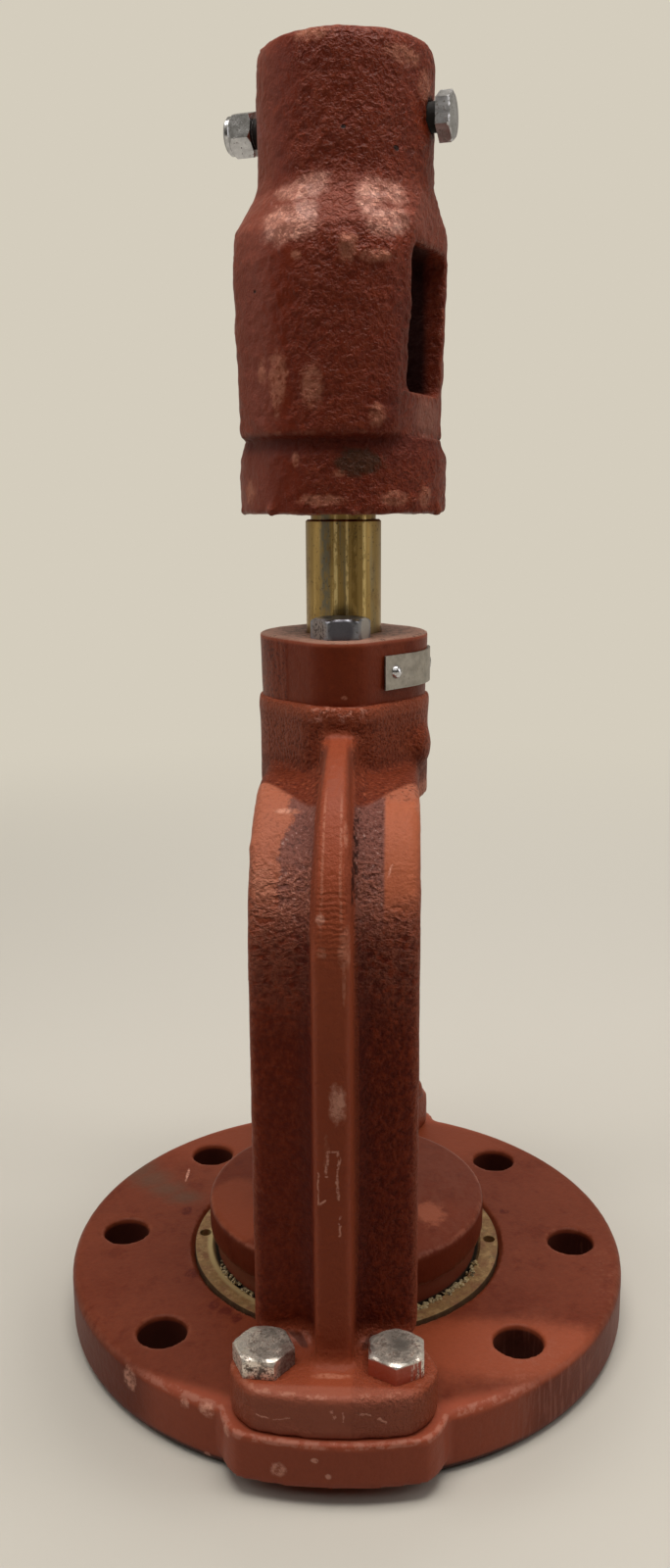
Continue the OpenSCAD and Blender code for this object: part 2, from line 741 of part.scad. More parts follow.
// Prevailing-torque nut: hexagon with a domed end that holds the insert
module lock_nut() {
  corner_r = lock_nut_af / sqrt(3);
  collar_r = lock_nut_af / 2 - lock_collar_in;
  color(zinc) lock_nut_frame() difference() {
    intersection() {
      cylinder(r = corner_r, h = lock_nut_l, $fn = 6);
      rotate_extrude() polygon([
        [0, 0], [corner_r - lock_nut_bevel, 0], [corner_r, lock_nut_bevel],
        [corner_r, lock_hex_l], [collar_r, lock_nut_l - lock_collar_l],
        [collar_r, lock_nut_l - lock_nut_round], [collar_r - lock_nut_round, lock_nut_l],
        [0, lock_nut_l]
      ]);
    }
    translate([0, 0, -past]) cylinder(r = cross_r + seat_fit, h = lock_nut_l + 2 * past);
    translate([0, 0, lock_insert_z]) cylinder(r = lock_insert_r + seat_fit, h = lock_insert_l + past);
  }
}

module lock_nut_insert() {
  color("white") lock_nut_frame() difference() {
    translate([0, 0, lock_insert_z]) cylinder(r = lock_insert_r, h = lock_insert_l);
    cylinder(r = cross_r + seat_fit, h = lock_nut_l + past);
  }
}

// Disc casting with its hub and the two forks that run on the guide ribs
module disc() {
  hub_r = hub_d / 2;
  fork_end = leg_in - guide_gap;
  slot_w = guide_w + 2 * guide_gap;
  // Middle of the fillet's arc between hub and disc
  arc_r = hub_r + hub_fillet;
  arc_z = disc_top_z + disc_crown + hub_fillet;
  color(iron_red) difference() {
    union() {
      rotate_extrude($fn = 180) polygon([
        [0, disc_low_z], [disc_r, disc_low_z],
        [disc_r, disc_top_z - disc_bevel], [disc_r - disc_bevel, disc_top_z],
        for (a = [270 : -15 : 180]) [arc_r + hub_fillet * cos(a), arc_z + hub_fillet * sin(a)],
        [hub_r, hub_top_z], [0, hub_top_z]
      ]);
      each_leg() translate([-slot_w / 2 - prong_w, hub_r, disc_low_z])
        cube([slot_w + 2 * prong_w, fork_end - hub_r, disc_t]);
    }
    translate([0, 0, disc_low_z - past])
      cylinder(r = nut_d / 2 + seat_fit, h = hub_top_z - disc_low_z + 2 * past);
    each_leg() translate([-slot_w / 2, leg_in - guide_depth - guide_gap, disc_low_z - past])
      cube([slot_w, guide_depth + guide_gap, disc_t + 2 * past]);
  }
}

// Facing ring under the disc, bevelled to the seat
module disc_facing_ring() {
  // Height of the bevel's face at a radius, lifted by the gap square to a 45 degree slope
  lift = seal_gap * sqrt(2);
  outer_z = flange_t - (bevel_top_r - facing_r) + lift;
  color(bronze) rotate_extrude($fn = 180) polygon([
    [facing_in_r, disc_low_z], [facing_r, disc_low_z],
    [facing_r, outer_z], [facing_r - facing_rim, outer_z - facing_rim],
    [facing_in_r, outer_z - facing_rim]
  ]);
}

// Bronze nut that runs on the stem's thread, with its flange on the hub
module disc_nut() {
  color(bronze) difference() {
    union() {
      translate([0, 0, disc_low_z]) cylinder(d = nut_d, h = hub_top_z - disc_low_z + join);
      translate([0, 0, hub_top_z]) cylinder(d = nut_flange_d, h = nut_flange_t);
    }
    translate([0, 0, disc_low_z - past])
      cylinder(r = stem_r + stem_fit, h = hub_top_z - disc_low_z + nut_flange_t + 2 * past);
  }
}

base_flange();
seat_ring();
yoke();
yoke_cap();
cap_bolt(0);  // cap_bolt_front
cap_bolt(1);  // cap_bolt_back
foot_bolt(0, 0);  // foot_bolt_front_left
foot_bolt(0, 1);  // foot_bolt_front_right
foot_bolt(1, 0);  // foot_bolt_back_left
foot_bolt(1, 1);  // foot_bolt_back_right
nameplate();
rivet_place_front() rivet();  // nameplate_rivet_front
rivet_place_side() rivet();  // nameplate_rivet_side
stem();
coupling();
stem_top_washer();
stem_top_nut();
coupling_bolt();
lock_nut();
lock_nut_insert();
disc();
disc_facing_ring();
disc_nut();
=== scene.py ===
"""Mud valve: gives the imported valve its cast, painted, turned and plated surfaces, one operator a piece."""

import math

import bmesh
import bpy
import numpy as np
from bpy.props import FloatProperty, FloatVectorProperty, IntProperty, PointerProperty
from mathutils import Matrix, Vector


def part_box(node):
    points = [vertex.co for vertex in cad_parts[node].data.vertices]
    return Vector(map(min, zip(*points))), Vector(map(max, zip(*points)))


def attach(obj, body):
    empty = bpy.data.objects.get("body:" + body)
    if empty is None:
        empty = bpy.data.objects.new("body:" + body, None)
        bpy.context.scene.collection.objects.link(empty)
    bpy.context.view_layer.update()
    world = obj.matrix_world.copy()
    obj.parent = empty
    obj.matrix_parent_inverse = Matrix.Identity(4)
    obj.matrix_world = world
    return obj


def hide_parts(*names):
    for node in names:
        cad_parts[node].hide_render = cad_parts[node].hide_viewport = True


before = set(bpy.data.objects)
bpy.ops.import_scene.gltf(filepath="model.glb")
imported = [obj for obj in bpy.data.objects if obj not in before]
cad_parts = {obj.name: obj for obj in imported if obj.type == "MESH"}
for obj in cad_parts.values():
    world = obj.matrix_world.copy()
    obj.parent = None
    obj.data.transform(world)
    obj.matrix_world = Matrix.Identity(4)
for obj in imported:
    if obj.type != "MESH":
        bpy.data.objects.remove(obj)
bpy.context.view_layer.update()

bl_info = {
    "name": "Mud Valve",
    "version": (1, 0, 0),
    "blender": (4, 5, 0),
    "location": "View3D > Sidebar > Mud Valve",
    "description": "Dresses a mud valve: primed castings, brass stem, bronze seat, plated fasteners",
    "category": "Object",
}

MM = 0.001
# Corners of a mesh that are closer than this are one corner, in metres
SAME_POINT = 1e-5
FRAME_BODY, STEM_BODY, DISC_BODY = "valve_frame", "stem_assembly", "disc_assembly"


# ---------------------------------------------------------------- node maths

class Value:
    """An output socket. Arithmetic on it adds Math nodes to its tree."""

    def __init__(self, graph, socket):
        self.graph = graph
        self.socket = socket

    def __add__(self, other):
        return self.graph.math("ADD", self, other)

    def __sub__(self, other):
        return self.graph.math("SUBTRACT", self, other)

    def __rsub__(self, other):
        return self.graph.math("SUBTRACT", other, self)

    def __mul__(self, other):
        return self.graph.math("MULTIPLY", self, other)

    def __truediv__(self, other):
        return self.graph.math("DIVIDE", self, other)

    def __rtruediv__(self, other):
        return self.graph.math("DIVIDE", other, self)

    __radd__ = __add__
    __rmul__ = __mul__

    def __abs__(self):
        return self.graph.math("ABSOLUTE", self)

    def clamp(self):
        """The value held between 0 and 1."""
        return self.graph.node("ShaderNodeClamp", {}, {"Value": self})

    def rise(self, low, high):
        """0 below low, 1 above high, with a smooth step between. Low may be the larger one."""
        inputs = {"Value": self, "From Min": low, "From Max": high}
        return self.graph.node("ShaderNodeMapRange", {"interpolation_type": "SMOOTHSTEP"}, inputs)

    def band(self, low, high, end, past):
        """1 from high to end, 0 below low and above past, with smooth steps. It may run downwards."""
        return self.rise(low, high) * self.rise(end, past)

    def least(self, other):
        return self.graph.math("MINIMUM", self, other)

    def most(self, other):
        return self.graph.math("MAXIMUM", self, other)


class Graph:
    """A node tree and the ways of adding nodes to it."""

    def __init__(self, tree):
        self.tree = tree

    def node(self, kind, settings, inputs, out=0):
        """Adds a node: its settings first, then its sockets by name or place. Returns one output."""
        made = self.tree.nodes.new(kind)
        for key, setting in settings.items():
            setattr(made, key, setting)
        open_sockets = [s for s in made.inputs if s.enabled]
        by_name = {s.name: s for s in reversed(open_sockets)}
        for key, value in inputs.items():
            self.put(open_sockets[key] if isinstance(key, int) else by_name[key], value)
        outputs = [s for s in made.outputs if s.enabled]
        named = {s.name: s for s in reversed(outputs)}
        return Value(self, outputs[out] if isinstance(out, int) else named[out])

    def put(self, socket, value):
        if isinstance(value, Value):
            self.tree.links.new(value.socket, socket)
        elif socket.type == "RGBA":
            socket.default_value = (*value, 1.0)
        else:
            socket.default_value = value

    def math(self, operation, *values):
        return self.node("ShaderNodeMath", {"operation": operation}, dict(enumerate(values)))

    def vector(self, operation, a, b=None, out=0):
        """Vector Math on one or two vectors. A plain number as b is a scale."""
        inputs = {0: a}
        if b is not None:
            inputs["Scale" if operation == "SCALE" else 1] = b
        return self.node("ShaderNodeVectorMath", {"operation": operation}, inputs, out)

    def xyz(self, vector):
        """The three parts of a vector."""
        split = self.node("ShaderNodeSeparateXYZ", {}, {0: vector}).socket.node
        return [Value(self, socket) for socket in split.outputs]

    def join_xyz(self, x, y, z):
        return self.node("ShaderNodeCombineXYZ", {}, {0: x, 1: y, 2: z})

    def round_place(self, radius, bearing, level):
        """A place at a radius and a bearing about the Z axis."""
        cosine, sine = self.math("COSINE", bearing), self.math("SINE", bearing)
        return self.join_xyz(radius * cosine, radius * sine, level)

    def from_axis(self, x, y):
        """Distance from the upright axis, given the two level parts of the way from it."""
        return self.vector("LENGTH", self.join_xyz(x, y, 0.0), out="Value")

    def noise(self, place, size, detail=2.0, roughness=0.5, seed=0.0, stretch=None):
        """Noise from 0 to 1 whose blobs are about size metres across, longer along stretch."""
        if stretch:
            place = self.vector("MULTIPLY", place, stretch)
        inputs = {"Vector": place, "W": seed, "Scale": 1 / size, "Detail": detail, "Roughness": roughness}
        return self.node("ShaderNodeTexNoise", {"noise_dimensions": "4D"}, inputs)


# ---------------------------------------------------------------- geometry trees

def open_tree(name, whole, sizes):
    """A new Geometry Nodes tree with named whole numbers, sizes and a material as inputs.

    Returns its graph and the inputs' values."""
    tree = bpy.data.node_groups.new(name, "GeometryNodeTree")
    tree.interface.new_socket("Geometry", in_out="OUTPUT", socket_type="NodeSocketGeometry")
    tree.interface.new_socket("Geometry", in_out="INPUT", socket_type="NodeSocketGeometry")
    kinds = [(whole, "NodeSocketInt"), (sizes, "NodeSocketFloat"), (("Material",), "NodeSocketMaterial")]
    for labels, kind in kinds:
        for label in labels:
            tree.interface.new_socket(label, in_out="INPUT", socket_type=kind)
    graph = Graph(tree)
    entry = tree.nodes.new("NodeGroupInput")
    return graph, {s.name: Value(graph, s) for s in entry.outputs if s.name}


def close_tree(graph, geometry, material):
    """Ends a tree: instances made real, material set, and the result put out."""
    real = graph.node("GeometryNodeRealizeInstances", {}, {0: geometry})
    done = graph.node("GeometryNodeSetMaterial", {}, {"Geometry": real, "Material": material})
    leave = graph.tree.nodes.new("NodeGroupOutput")
    graph.put(leave.inputs[0], done)
    return graph.tree


def add_tree(piece, tree, values):
    """Puts a tree on a piece as a modifier, its inputs set by the sockets' identifiers."""
    modifier = piece.modifiers.new(tree.name, "NODES")
    modifier.node_group = tree
    for item in tree.interface.items_tree:
        if item.item_type == "SOCKET" and item.in_out == "INPUT" and item.name in values:
            modifier[item.identifier] = values[item.name]


def settle(piece):
    """Turns what the piece's modifiers make into its plain mesh."""
    bpy.context.view_layer.update()
    depsgraph = bpy.context.evaluated_depsgraph_get()
    shaped = piece.evaluated_get(depsgraph)
    mesh = bpy.data.meshes.new_from_object(shaped, preserve_all_data_layers=True, depsgraph=depsgraph)
    piece.modifiers.clear()
    piece.data = mesh
    mesh.name = piece.name
    return piece


def cast_skin_tree():
    """Softens a remeshed casting's edges, gives it the lumps of a sand mould and notes its hollows."""
    graph, given = open_tree("Cast Skin", ["Rounds"], [
        "Lump Height", "Lump Size", "Pebble Height", "Pebble Size", "Proud", "Seed"])
    blur = {"data_type": "FLOAT_VECTOR"}
    place = graph.node("GeometryNodeInputPosition", {}, {})
    soft = graph.node("GeometryNodeBlurAttribute", blur, {"Value": place, "Iterations": given["Rounds"]})
    body = graph.node("GeometryNodeSetPosition", {}, {"Geometry": given["Geometry"], "Position": soft})
    normal = graph.node("GeometryNodeInputNormal", {}, {})
    lumps = graph.noise(place, given["Lump Size"], seed=given["Seed"])
    pebbles = graph.noise(place, given["Pebble Size"], seed=given["Seed"] + 5)
    # The sand came off more roughly in some places than in others
    rough = 0.3 + 0.7 * graph.noise(place, 0.03, seed=7).rise(0.4, 0.62)
    sink = (lumps - 0.5) * given["Lump Height"] + (pebbles - 0.5) * given["Pebble Height"] * rough
    # Proud is the most that the skin may stand out of the solid
    sink = sink.least(given["Proud"])
    offset = graph.vector("SCALE", normal, sink)
    body = graph.node("GeometryNodeSetPosition", {}, {"Geometry": body, "Offset": offset})
    around = graph.node("GeometryNodeBlurAttribute", blur, {"Value": place, "Iterations": 6})
    hollow = graph.vector("DOT_PRODUCT", graph.vector("SUBTRACT", around, place), normal, "Value") / MM
    body = graph.node("GeometryNodeStoreNamedAttribute", {"data_type": "FLOAT", "domain": "POINT"}, {
        "Geometry": body, "Name": "hollow", "Value": hollow})
    body = graph.node("GeometryNodeSetShadeSmooth", {}, {"Geometry": body, "Shade Smooth": True})
    return close_tree(graph, body, given["Material"])


# ---------------------------------------------------------------- making pieces

def new_piece(name, mesh):
    piece = bpy.data.objects.new(name, mesh)
    bpy.context.scene.collection.objects.link(piece)
    return piece


def shaped_piece(name, form, material=None):
    """Ends a bmesh and makes a piece of it."""
    mesh = bpy.data.meshes.new(name)
    form.to_mesh(mesh)
    form.free()
    if material:
        mesh.materials.append(material)
    return new_piece(name, mesh)


def cad_copy(node, name):
    """A copy of a node's mesh as a new piece, its loose triangles joined at their corners."""
    form = bmesh.new()
    form.from_mesh(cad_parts[node].data)
    bmesh.ops.remove_doubles(form, verts=form.verts, dist=1e-6)
    return shaped_piece(name, form)


def dress(node, material):
    """Gives a CAD node's surface a material and leaves its shape alone."""
    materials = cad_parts[node].data.materials
    materials.clear()
    materials.append(material)


def casting(node, name, body, settings, material, slot, lumps=(), reshape=None):
    """A node's solid as a sand casting: lumps melted on, remeshed evenly, reshaped, softened, roughened.

    Each lump is an ellipsoid: its centre and its three radii, in millimetres."""
    piece = cad_copy(node, name)
    if lumps:
        form = bmesh.new()
        form.from_mesh(piece.data)
        for *centre, wide, deep, high in lumps:
            size = Matrix.Diagonal((wide * MM, deep * MM, high * MM, 1))
            place = Matrix.Translation(Vector(centre) * MM) @ size
            bmesh.ops.create_icosphere(form, subdivisions=3, radius=1.0, matrix=place)
        form.to_mesh(piece.data)
        form.free()
    remesh = piece.modifiers.new("Grain", "REMESH")
    remesh.mode = "VOXEL"
    remesh.voxel_size = settings.grain
    settle(piece)
    if reshape:
        points = np.empty(len(piece.data.vertices) * 3, np.float32)
        piece.data.vertices.foreach_get("co", points)
        shaped = reshape(points.reshape(-1, 3).astype(float) / MM) * MM
        piece.data.vertices.foreach_set("co", shaped.astype(np.float32).ravel())
    add_tree(piece, bpy.data.node_groups["Cast Skin"], {
        "Rounds": settings.rounds, "Lump Height": settings.lump_height, "Lump Size": settings.lump_size,
        "Pebble Height": settings.pebble_height, "Pebble Size": settings.pebble_size,
        "Proud": settings.proud, "Seed": settings.seed, "Material": material})
    settle(piece)
    return finish_piece(piece, body, slot, node)


def finish_piece(piece, body, slot, *nodes):
    """Fixes a piece to its body in place of the nodes that it stands for."""
    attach(piece, body)
    if nodes:
        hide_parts(*nodes)
    return piece


def twins(x, y, *more):
    """A mark and its twin across the stem's axis, for what stands at the front and at the back."""
    return (x, y, *more), (-x, -y, *more)


def lathe(name, profile, steps, material):
    """A turned solid: its profile is a list of (radius, height) from the bottom, closed at any pole."""
    form = bmesh.new()
    rings = []
    for radius, height in profile:
        if radius == 0:
            rings.append([form.verts.new((0, 0, height))])
            continue
        turns = [math.tau * step / steps for step in range(steps)]
        rings.append([form.verts.new((radius * math.cos(a), radius * math.sin(a), height)) for a in turns])
    for low, high in zip(rings, rings[1:] + rings[:1]):
        if len(low) == 1 and len(high) == 1:
            continue
        for step in range(steps):
            after = (step + 1) % steps
            ends = ((low, step), (low, after), (high, after), (high, step))
            form.faces.new(list(dict.fromkeys(ring[place % len(ring)] for ring, place in ends)))
    bmesh.ops.recalc_face_normals(form, faces=form.faces)
    for face in form.faces:
        face.smooth = True
    return shaped_piece(name, form, material)


def crisp(piece, degrees=30):
    """Smooth shading with edges above an angle kept sharp."""
    piece.data.shade_smooth()
    piece.data.set_sharp_from_angle(angle=math.radians(degrees))
    return piece


# ---------------------------------------------------------------- finishes

class Finish(Graph):
    """A material in the making: its colour, roughness and relief are laid on coat by coat."""

    def __init__(self, name, colour, rough, metal=0.0):
        self.material = bpy.data.materials.new(name)
        self.material.use_nodes = True
        super().__init__(self.material.node_tree)
        self.tree.nodes.clear()
        self.shader = self.tree.nodes.new("ShaderNodeBsdfPrincipled")
        leave = self.tree.nodes.new("ShaderNodeOutputMaterial")
        self.tree.links.new(self.shader.outputs[0], leave.inputs[0])
        self.place = self.node("ShaderNodeTexCoord", {}, {}, "Object")
        self.colour = colour
        self.rough = rough
        self.metal = metal
        self.relief = None
        self.gloss = None
        self.edges = None
        self.broken = self.wandering = None
        if not metal:
            self.shader.inputs["Specular IOR Level"].default_value = 0.15

    def blend(self, a, b, share):
        """Colour a changing to colour b by share."""
        settings = {"data_type": "RGBA", "clamp_factor": True}
        return self.node("ShaderNodeMix", settings, {0: share, 1: a, 2: b})

    def coat(self, colour, share, rough=None, metal=None):
        """Lays a colour over the surface by share, with its own roughness and metal."""
        self.colour = self.blend(self.colour, colour, share)
        if rough is not None:
            self.rough = self.rough + share * (rough - self.rough)
        if metal is not None:
            self.metal = self.metal + share * (metal - self.metal)

    def shade(self, factor):
        """Multiplies the colour so far by a grey factor."""
        self.colour = self.vector("SCALE", self.colour, factor)

    def raise_by(self, height):
        """Adds relief in metres."""
        self.relief = height if self.relief is None else self.relief + height

    def varnish(self, share):
        """Lays clear gloss over the surface by share."""
        self.gloss = share if self.gloss is None else self.gloss.most(share)

    def mottle(self, size, seed, detail=3.0, roughness=0.6, stretch=None):
        """Noise over the surface from 0 to 1, its blobs about size millimetres across."""
        return self.noise(self.place, size * MM, detail, roughness, seed, stretch)

    def sway(self, size, seed, by, detail=3.0, roughness=0.6):
        """Metres that make a straight edge wander, by up to half of by to either side."""
        return (self.mottle(size, seed, detail, roughness) - 0.5) * by

    def any_of(self, masks):
        """The highest of several masks."""
        found, *others = masks
        for mask in others:
            found = found.most(mask)
        return found

    def mark(self, *places, ragged=0.6, soft=0.35):
        """1 inside any of several ellipsoids with ragged edges, 0 outside.

        Each is its centre and its three radii, in millimetres."""
        if self.edges is None:
            self.edges = (self.mottle(2.6, 40, 3, 0.65) + self.mottle(8, 42) * 0.9 - 0.95) * 2
        found = []
        for place in places:
            away = self.vector("SUBTRACT", self.place, Vector(place[:3]) * MM)
            away = self.vector("DIVIDE", away, Vector(place[3:]) * MM)
            far = self.vector("LENGTH", away, out="Value") + self.edges * ragged
            found.append(far.rise(1 + soft, 1 - soft))
        return self.any_of(found)

    def chips(self, places, colour, share, rough):
        """Rubbed or chipped paint at several places, broken up as the relief breaks it."""
        if self.broken is None:
            self.broken = 0.2 + 0.8 * self.mottle(2.1, 41, 4, 0.7).rise(0.36, 0.56)
        self.coat(colour, self.mark(*places) * self.broken * share, rough=rough)

    def scratch(self, line, width):
        """1 along a slightly wandering line, 0 outside. The line is its two ends, in millimetres."""
        if self.wandering is None:
            sway = self.sway(5, 42, 4 * MM)
            self.wandering = self.vector("ADD", self.place, self.join_xyz(sway, 0.0, sway * 0.6))
        start, along = Vector(line[:3]) * MM, (Vector(line[3:]) - Vector(line[:3])) * MM
        away = self.vector("SUBTRACT", self.wandering, start)
        share = (self.vector("DOT_PRODUCT", away, along, "Value") / along.length_squared).clamp()
        foot = self.vector("SCALE", along, share)
        far = self.vector("LENGTH", self.vector("SUBTRACT", away, foot), out="Value")
        return far.rise(width * MM, width * MM * 0.3)

    def turned(self, x, y):
        """x of the front half, and of the back half as if it were turned to the front."""
        return x * y.rise(0.001, -0.001) - x * y.rise(-0.001, 0.001)

    def folds(self, size, seed, stretch=None):
        """Relief from 0 to 1 like wrinkled paint: sharp crests where noise passes its middle."""
        middle = self.noise(self.place, size, 3.0, 0.55, seed=seed, stretch=stretch) - 0.5
        return (1 - abs(middle) * 7).clamp()

    def hollow(self):
        """The Cast Skin tree's note: above 0 in hollows, below 0 on edges."""
        return self.node("ShaderNodeAttribute", {"attribute_name": "hollow"}, {}, "Fac")

    def worn_edges(self):
        """1 on the casting's sharp edges, 0 elsewhere."""
        return self.hollow().rise(-0.16, -0.3)

    def done(self):
        """Puts the coats on the shader and returns the material."""
        sockets = self.shader.inputs
        self.put(sockets["Base Color"], self.colour)
        self.put(sockets["Roughness"], self.rough)
        self.put(sockets["Metallic"], self.metal)
        if self.gloss is not None:
            sockets["Coat Roughness"].default_value = 0.28
            self.put(sockets["Coat Weight"], self.gloss)
        if self.relief is not None:
            bump = self.node("ShaderNodeBump", {}, {"Strength": 1.0, "Distance": 1.0, "Height": self.relief})
            self.put(sockets["Normal"], bump)
        return self.material


def primer(name, paint, rough, grain, pebble, cloudy=0.6, worn=0.3):
    """Iron-oxide primer on iron: cloudy colour, grain and pebbles in the relief, hollows darkened as painted
    shade, edges worn.

    grain and pebble are (size, height) of the sand's fine and coarse marks, in millimetres."""
    finish = Finish(name, tuple(paint), rough)
    dark = (0.72 * paint[0], 0.52 * paint[1], 0.42 * paint[2])
    light = (1.3 * paint[0], 1.4 * paint[1], 1.4 * paint[2])
    clouds = finish.mottle(40, 1, 4, 0.62)
    finish.coat(dark, clouds.rise(0.5, 0.3) * cloudy, rough=rough + 0.05)
    finish.coat(light, clouds.rise(0.5, 0.72) * cloudy, rough=rough - 0.04)
    blotches = finish.mottle(9, 6, 4, 0.65)
    finish.coat(dark, blotches.rise(0.52, 0.66) * cloudy)
    coarse = finish.mottle(pebble[0], 2)
    fine = finish.mottle(grain[0], 3)
    finish.shade(0.66 + 0.4 * coarse + 0.28 * fine)
    finish.raise_by(coarse * (pebble[1] * MM) + fine * (grain[1] * MM))
    hollow = finish.hollow()
    # Hollows darkened as painted shade
    finish.coat((0.34 * paint[0], 0.22 * paint[1], 0.2 * paint[2]), hollow.rise(0.06, 0.5) * 0.65)
    wear = finish.mottle(3.5, 4, 4, 0.7).rise(0.42, 0.6)
    finish.coat(SCUFF, hollow.rise(-0.16, -0.36) * wear * worn, rough=rough + 0.08)
    return finish


# Colours that the castings share: rubbed paint, chipped paint and the painted shade of a hidden hollow
SCUFF = (0.48, 0.175, 0.105)
CHIP = (0.78, 0.38, 0.27)
SHADE_BLACK = (0.022, 0.004, 0.002)


# ---------------------------------------------------------------- sizes and colours

def length(label, description, millimetres, **more):
    return FloatProperty(name=label, description=description, default=millimetres * MM, unit="LENGTH", **more)


def tint(label, description, colour):
    return FloatVectorProperty(name=label, description=description, default=colour, size=3, subtype="COLOR")


def cast_settings(grain, rounds, lump, pebble, proud, seed, paint):
    """The settings of one casting. Lump and pebble are (height, size), in millimetres as grain and proud."""
    return {
        "grain": length("Grain", "Size of the faces that the casting is made of", grain),
        "rounds": IntProperty(name="Rounds", description="Passes that round its edges", default=rounds),
        "lump_height": length("Lump Height", "How deep the sand's lumps are", lump[0]),
        "lump_size": length("Lump Size", "Distance between the sand's lumps", lump[1]),
        "pebble_height": length("Pebble Height", "How deep the sand's pebbles are", pebble[0]),
        "pebble_size": length("Pebble Size", "Distance between the sand's pebbles", pebble[1]),
        "proud": length("Proud", "The most that the skin stands out of the solid", proud),
        "seed": FloatProperty(name="Seed", description="Draw of the lumps", default=seed),
        "paint": tint("Paint", "Primer on the casting", paint),
    }


class CouplingSettings(bpy.types.PropertyGroup):
    __annotations__ = cast_settings(0.92, 3, (1.5, 12), (1.5, 3.6), 0.5, 3.0, (0.192, 0.025, 0.007))


class YokeSettings(bpy.types.PropertyGroup):
    __annotations__ = cast_settings(1.2, 5, (0.9, 16), (0.5, 4.0), 0.3, 11.0, (0.165, 0.019, 0.004))


class CapSettings(bpy.types.PropertyGroup):
    __annotations__ = cast_settings(0.8, 2, (0.5, 14), (0.15, 4.0), 0.2, 7.0, (0.18, 0.028, 0.008))


class FlangeSettings(bpy.types.PropertyGroup):
    __annotations__ = cast_settings(1.25, 1, (0.25, 22), (0.1, 4.0), 0.0, 5.0, (0.16, 0.032, 0.013))


class DiscSettings(bpy.types.PropertyGroup):
    __annotations__ = cast_settings(1.0, 2, (0.3, 18), (0.1, 4.0), 0.0, 9.0, (0.14, 0.022, 0.007))


class FastenerSettings(bpy.types.PropertyGroup):
    around: IntProperty(name="Around", description="Faces round each head", default=96)
    along: IntProperty(name="Along", description="Rows of faces over each head and shank", default=61)
    edge: length("Edge", "Softness of the heads' edges", 0.35)
    slope: FloatProperty(name="Slope", description="Slope of a head's bevel, height to width", default=0.5)
    rust: tint("Rust", "Rust in a worn head's pits", (0.16, 0.06, 0.03))


class StemSettings(bpy.types.PropertyGroup):
    lead: length("Lead", "Rise of the thread in one turn", 6.35)
    depth: length("Depth", "Depth of the thread", 2.4)
    threaded: length("Threaded", "Length of the stem's thread", 168)
    neck: length("Neck", "Height of the neck under the coupling", 2.2)
    square: length("Square", "Across the flats of the driving square", 17.4)
    brass: tint("Brass", "Colour of the turned brass", (0.36, 0.235, 0.08))


class SeatSettings(bpy.types.PropertyGroup):
    bronze: tint("Bronze", "Colour of the seat's stained bronze", (0.25, 0.138, 0.052))
    crumbs: IntProperty(name="Crumbs", description="Number of corroded crumbs at the seat", default=90)
    seed: IntProperty(name="Seed", description="Draw of the crumbs", default=4)


class StudioSettings(bpy.types.PropertyGroup):
    eye: FloatVectorProperty(
        name="Eye", description="Where the camera stands", size=3, unit="LENGTH",
        default=(0.0218, -0.493, 0.3324))
    aim: FloatVectorProperty(
        name="Aim", description="The camera's yaw, pitch down and roll", size=3, unit="ROTATION",
        default=(math.radians(2.967), math.radians(12.552), math.radians(-0.344)))
    lens: FloatProperty(name="Lens", description="Focal length on a 36 mm high film", default=29.37)
    floor: tint("Floor", "Colour of the floor", (0.62, 0.59, 0.53))
    back: tint("Background", "Colour that shows behind", (0.66, 0.61, 0.51))


class ValveSettings(bpy.types.PropertyGroup):
    coupling: PointerProperty(type=CouplingSettings)
    yoke: PointerProperty(type=YokeSettings)
    cap: PointerProperty(type=CapSettings)
    flange: PointerProperty(type=FlangeSettings)
    disc: PointerProperty(type=DiscSettings)
    fastener: PointerProperty(type=FastenerSettings)
    stem: PointerProperty(type=StemSettings)
    seat: PointerProperty(type=SeatSettings)
    studio: PointerProperty(type=StudioSettings)


# ---------------------------------------------------------------- castings

def soft_least(a, b, soft):
    """The smaller of two arrays, with a soft turn between them."""
    share = np.clip(0.5 + 0.5 * (a - b) / soft, 0, 1)
    return a * (1 - share) + b * share - soft * share * (1 - share)


# Bearing of the coupling's two windows, and of the square inside them
WINDOW_BEARING = math.radians(-19)


def coupling_shape(points):
    """Draft, soft corners, the lip over the collar, the rounded shoulder and mouth. Millimetres."""
    low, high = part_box("coupling")
    x, y, z = points.T
    far, bearing = np.hypot(x, y), np.arctan2(y, x)
    # Height above the coupling's foot, against the share of its width that the mould left
    heights = low.z / MM + np.array([0, 20, 23, 26, 27, 78, 87, 95.5, 101, 105, 109, 113, 152, 155.5, 158])
    widths = np.array([1, 1, 0.965, 0.95, 0.985, 1.02, 1.025, 1.025, 1.01, 0.995, 0.985, 1, 1, 0.985, 0.945])
    share = np.interp(z, heights, widths)
    # The two flats at the windows turn softly into the round of the body
    flat, body = 32.8, 40.8
    to_flat = flat / np.maximum(np.abs(np.cos(bearing - WINDOW_BEARING)), 0.05)
    inside = (z > low.z / MM + 26.2) & (z < low.z / MM + 97)
    softened = soft_least(to_flat, np.full_like(far, body), 7) / np.minimum(to_flat, body)
    share = share * np.where(inside, softened, 1)
    # Only the outside is moulded so: the bore and the windows keep their walls
    bore_wall, skin = 27, 4
    outside = np.clip((far - bore_wall) / skin, 0, 1)
    share = 1 + (share - 1) * outside
    sunk = 0.6 * np.clip((z - high.z / MM + 6) / 6, 0, 1)
    return np.column_stack([x * share, y * share, z - sunk])


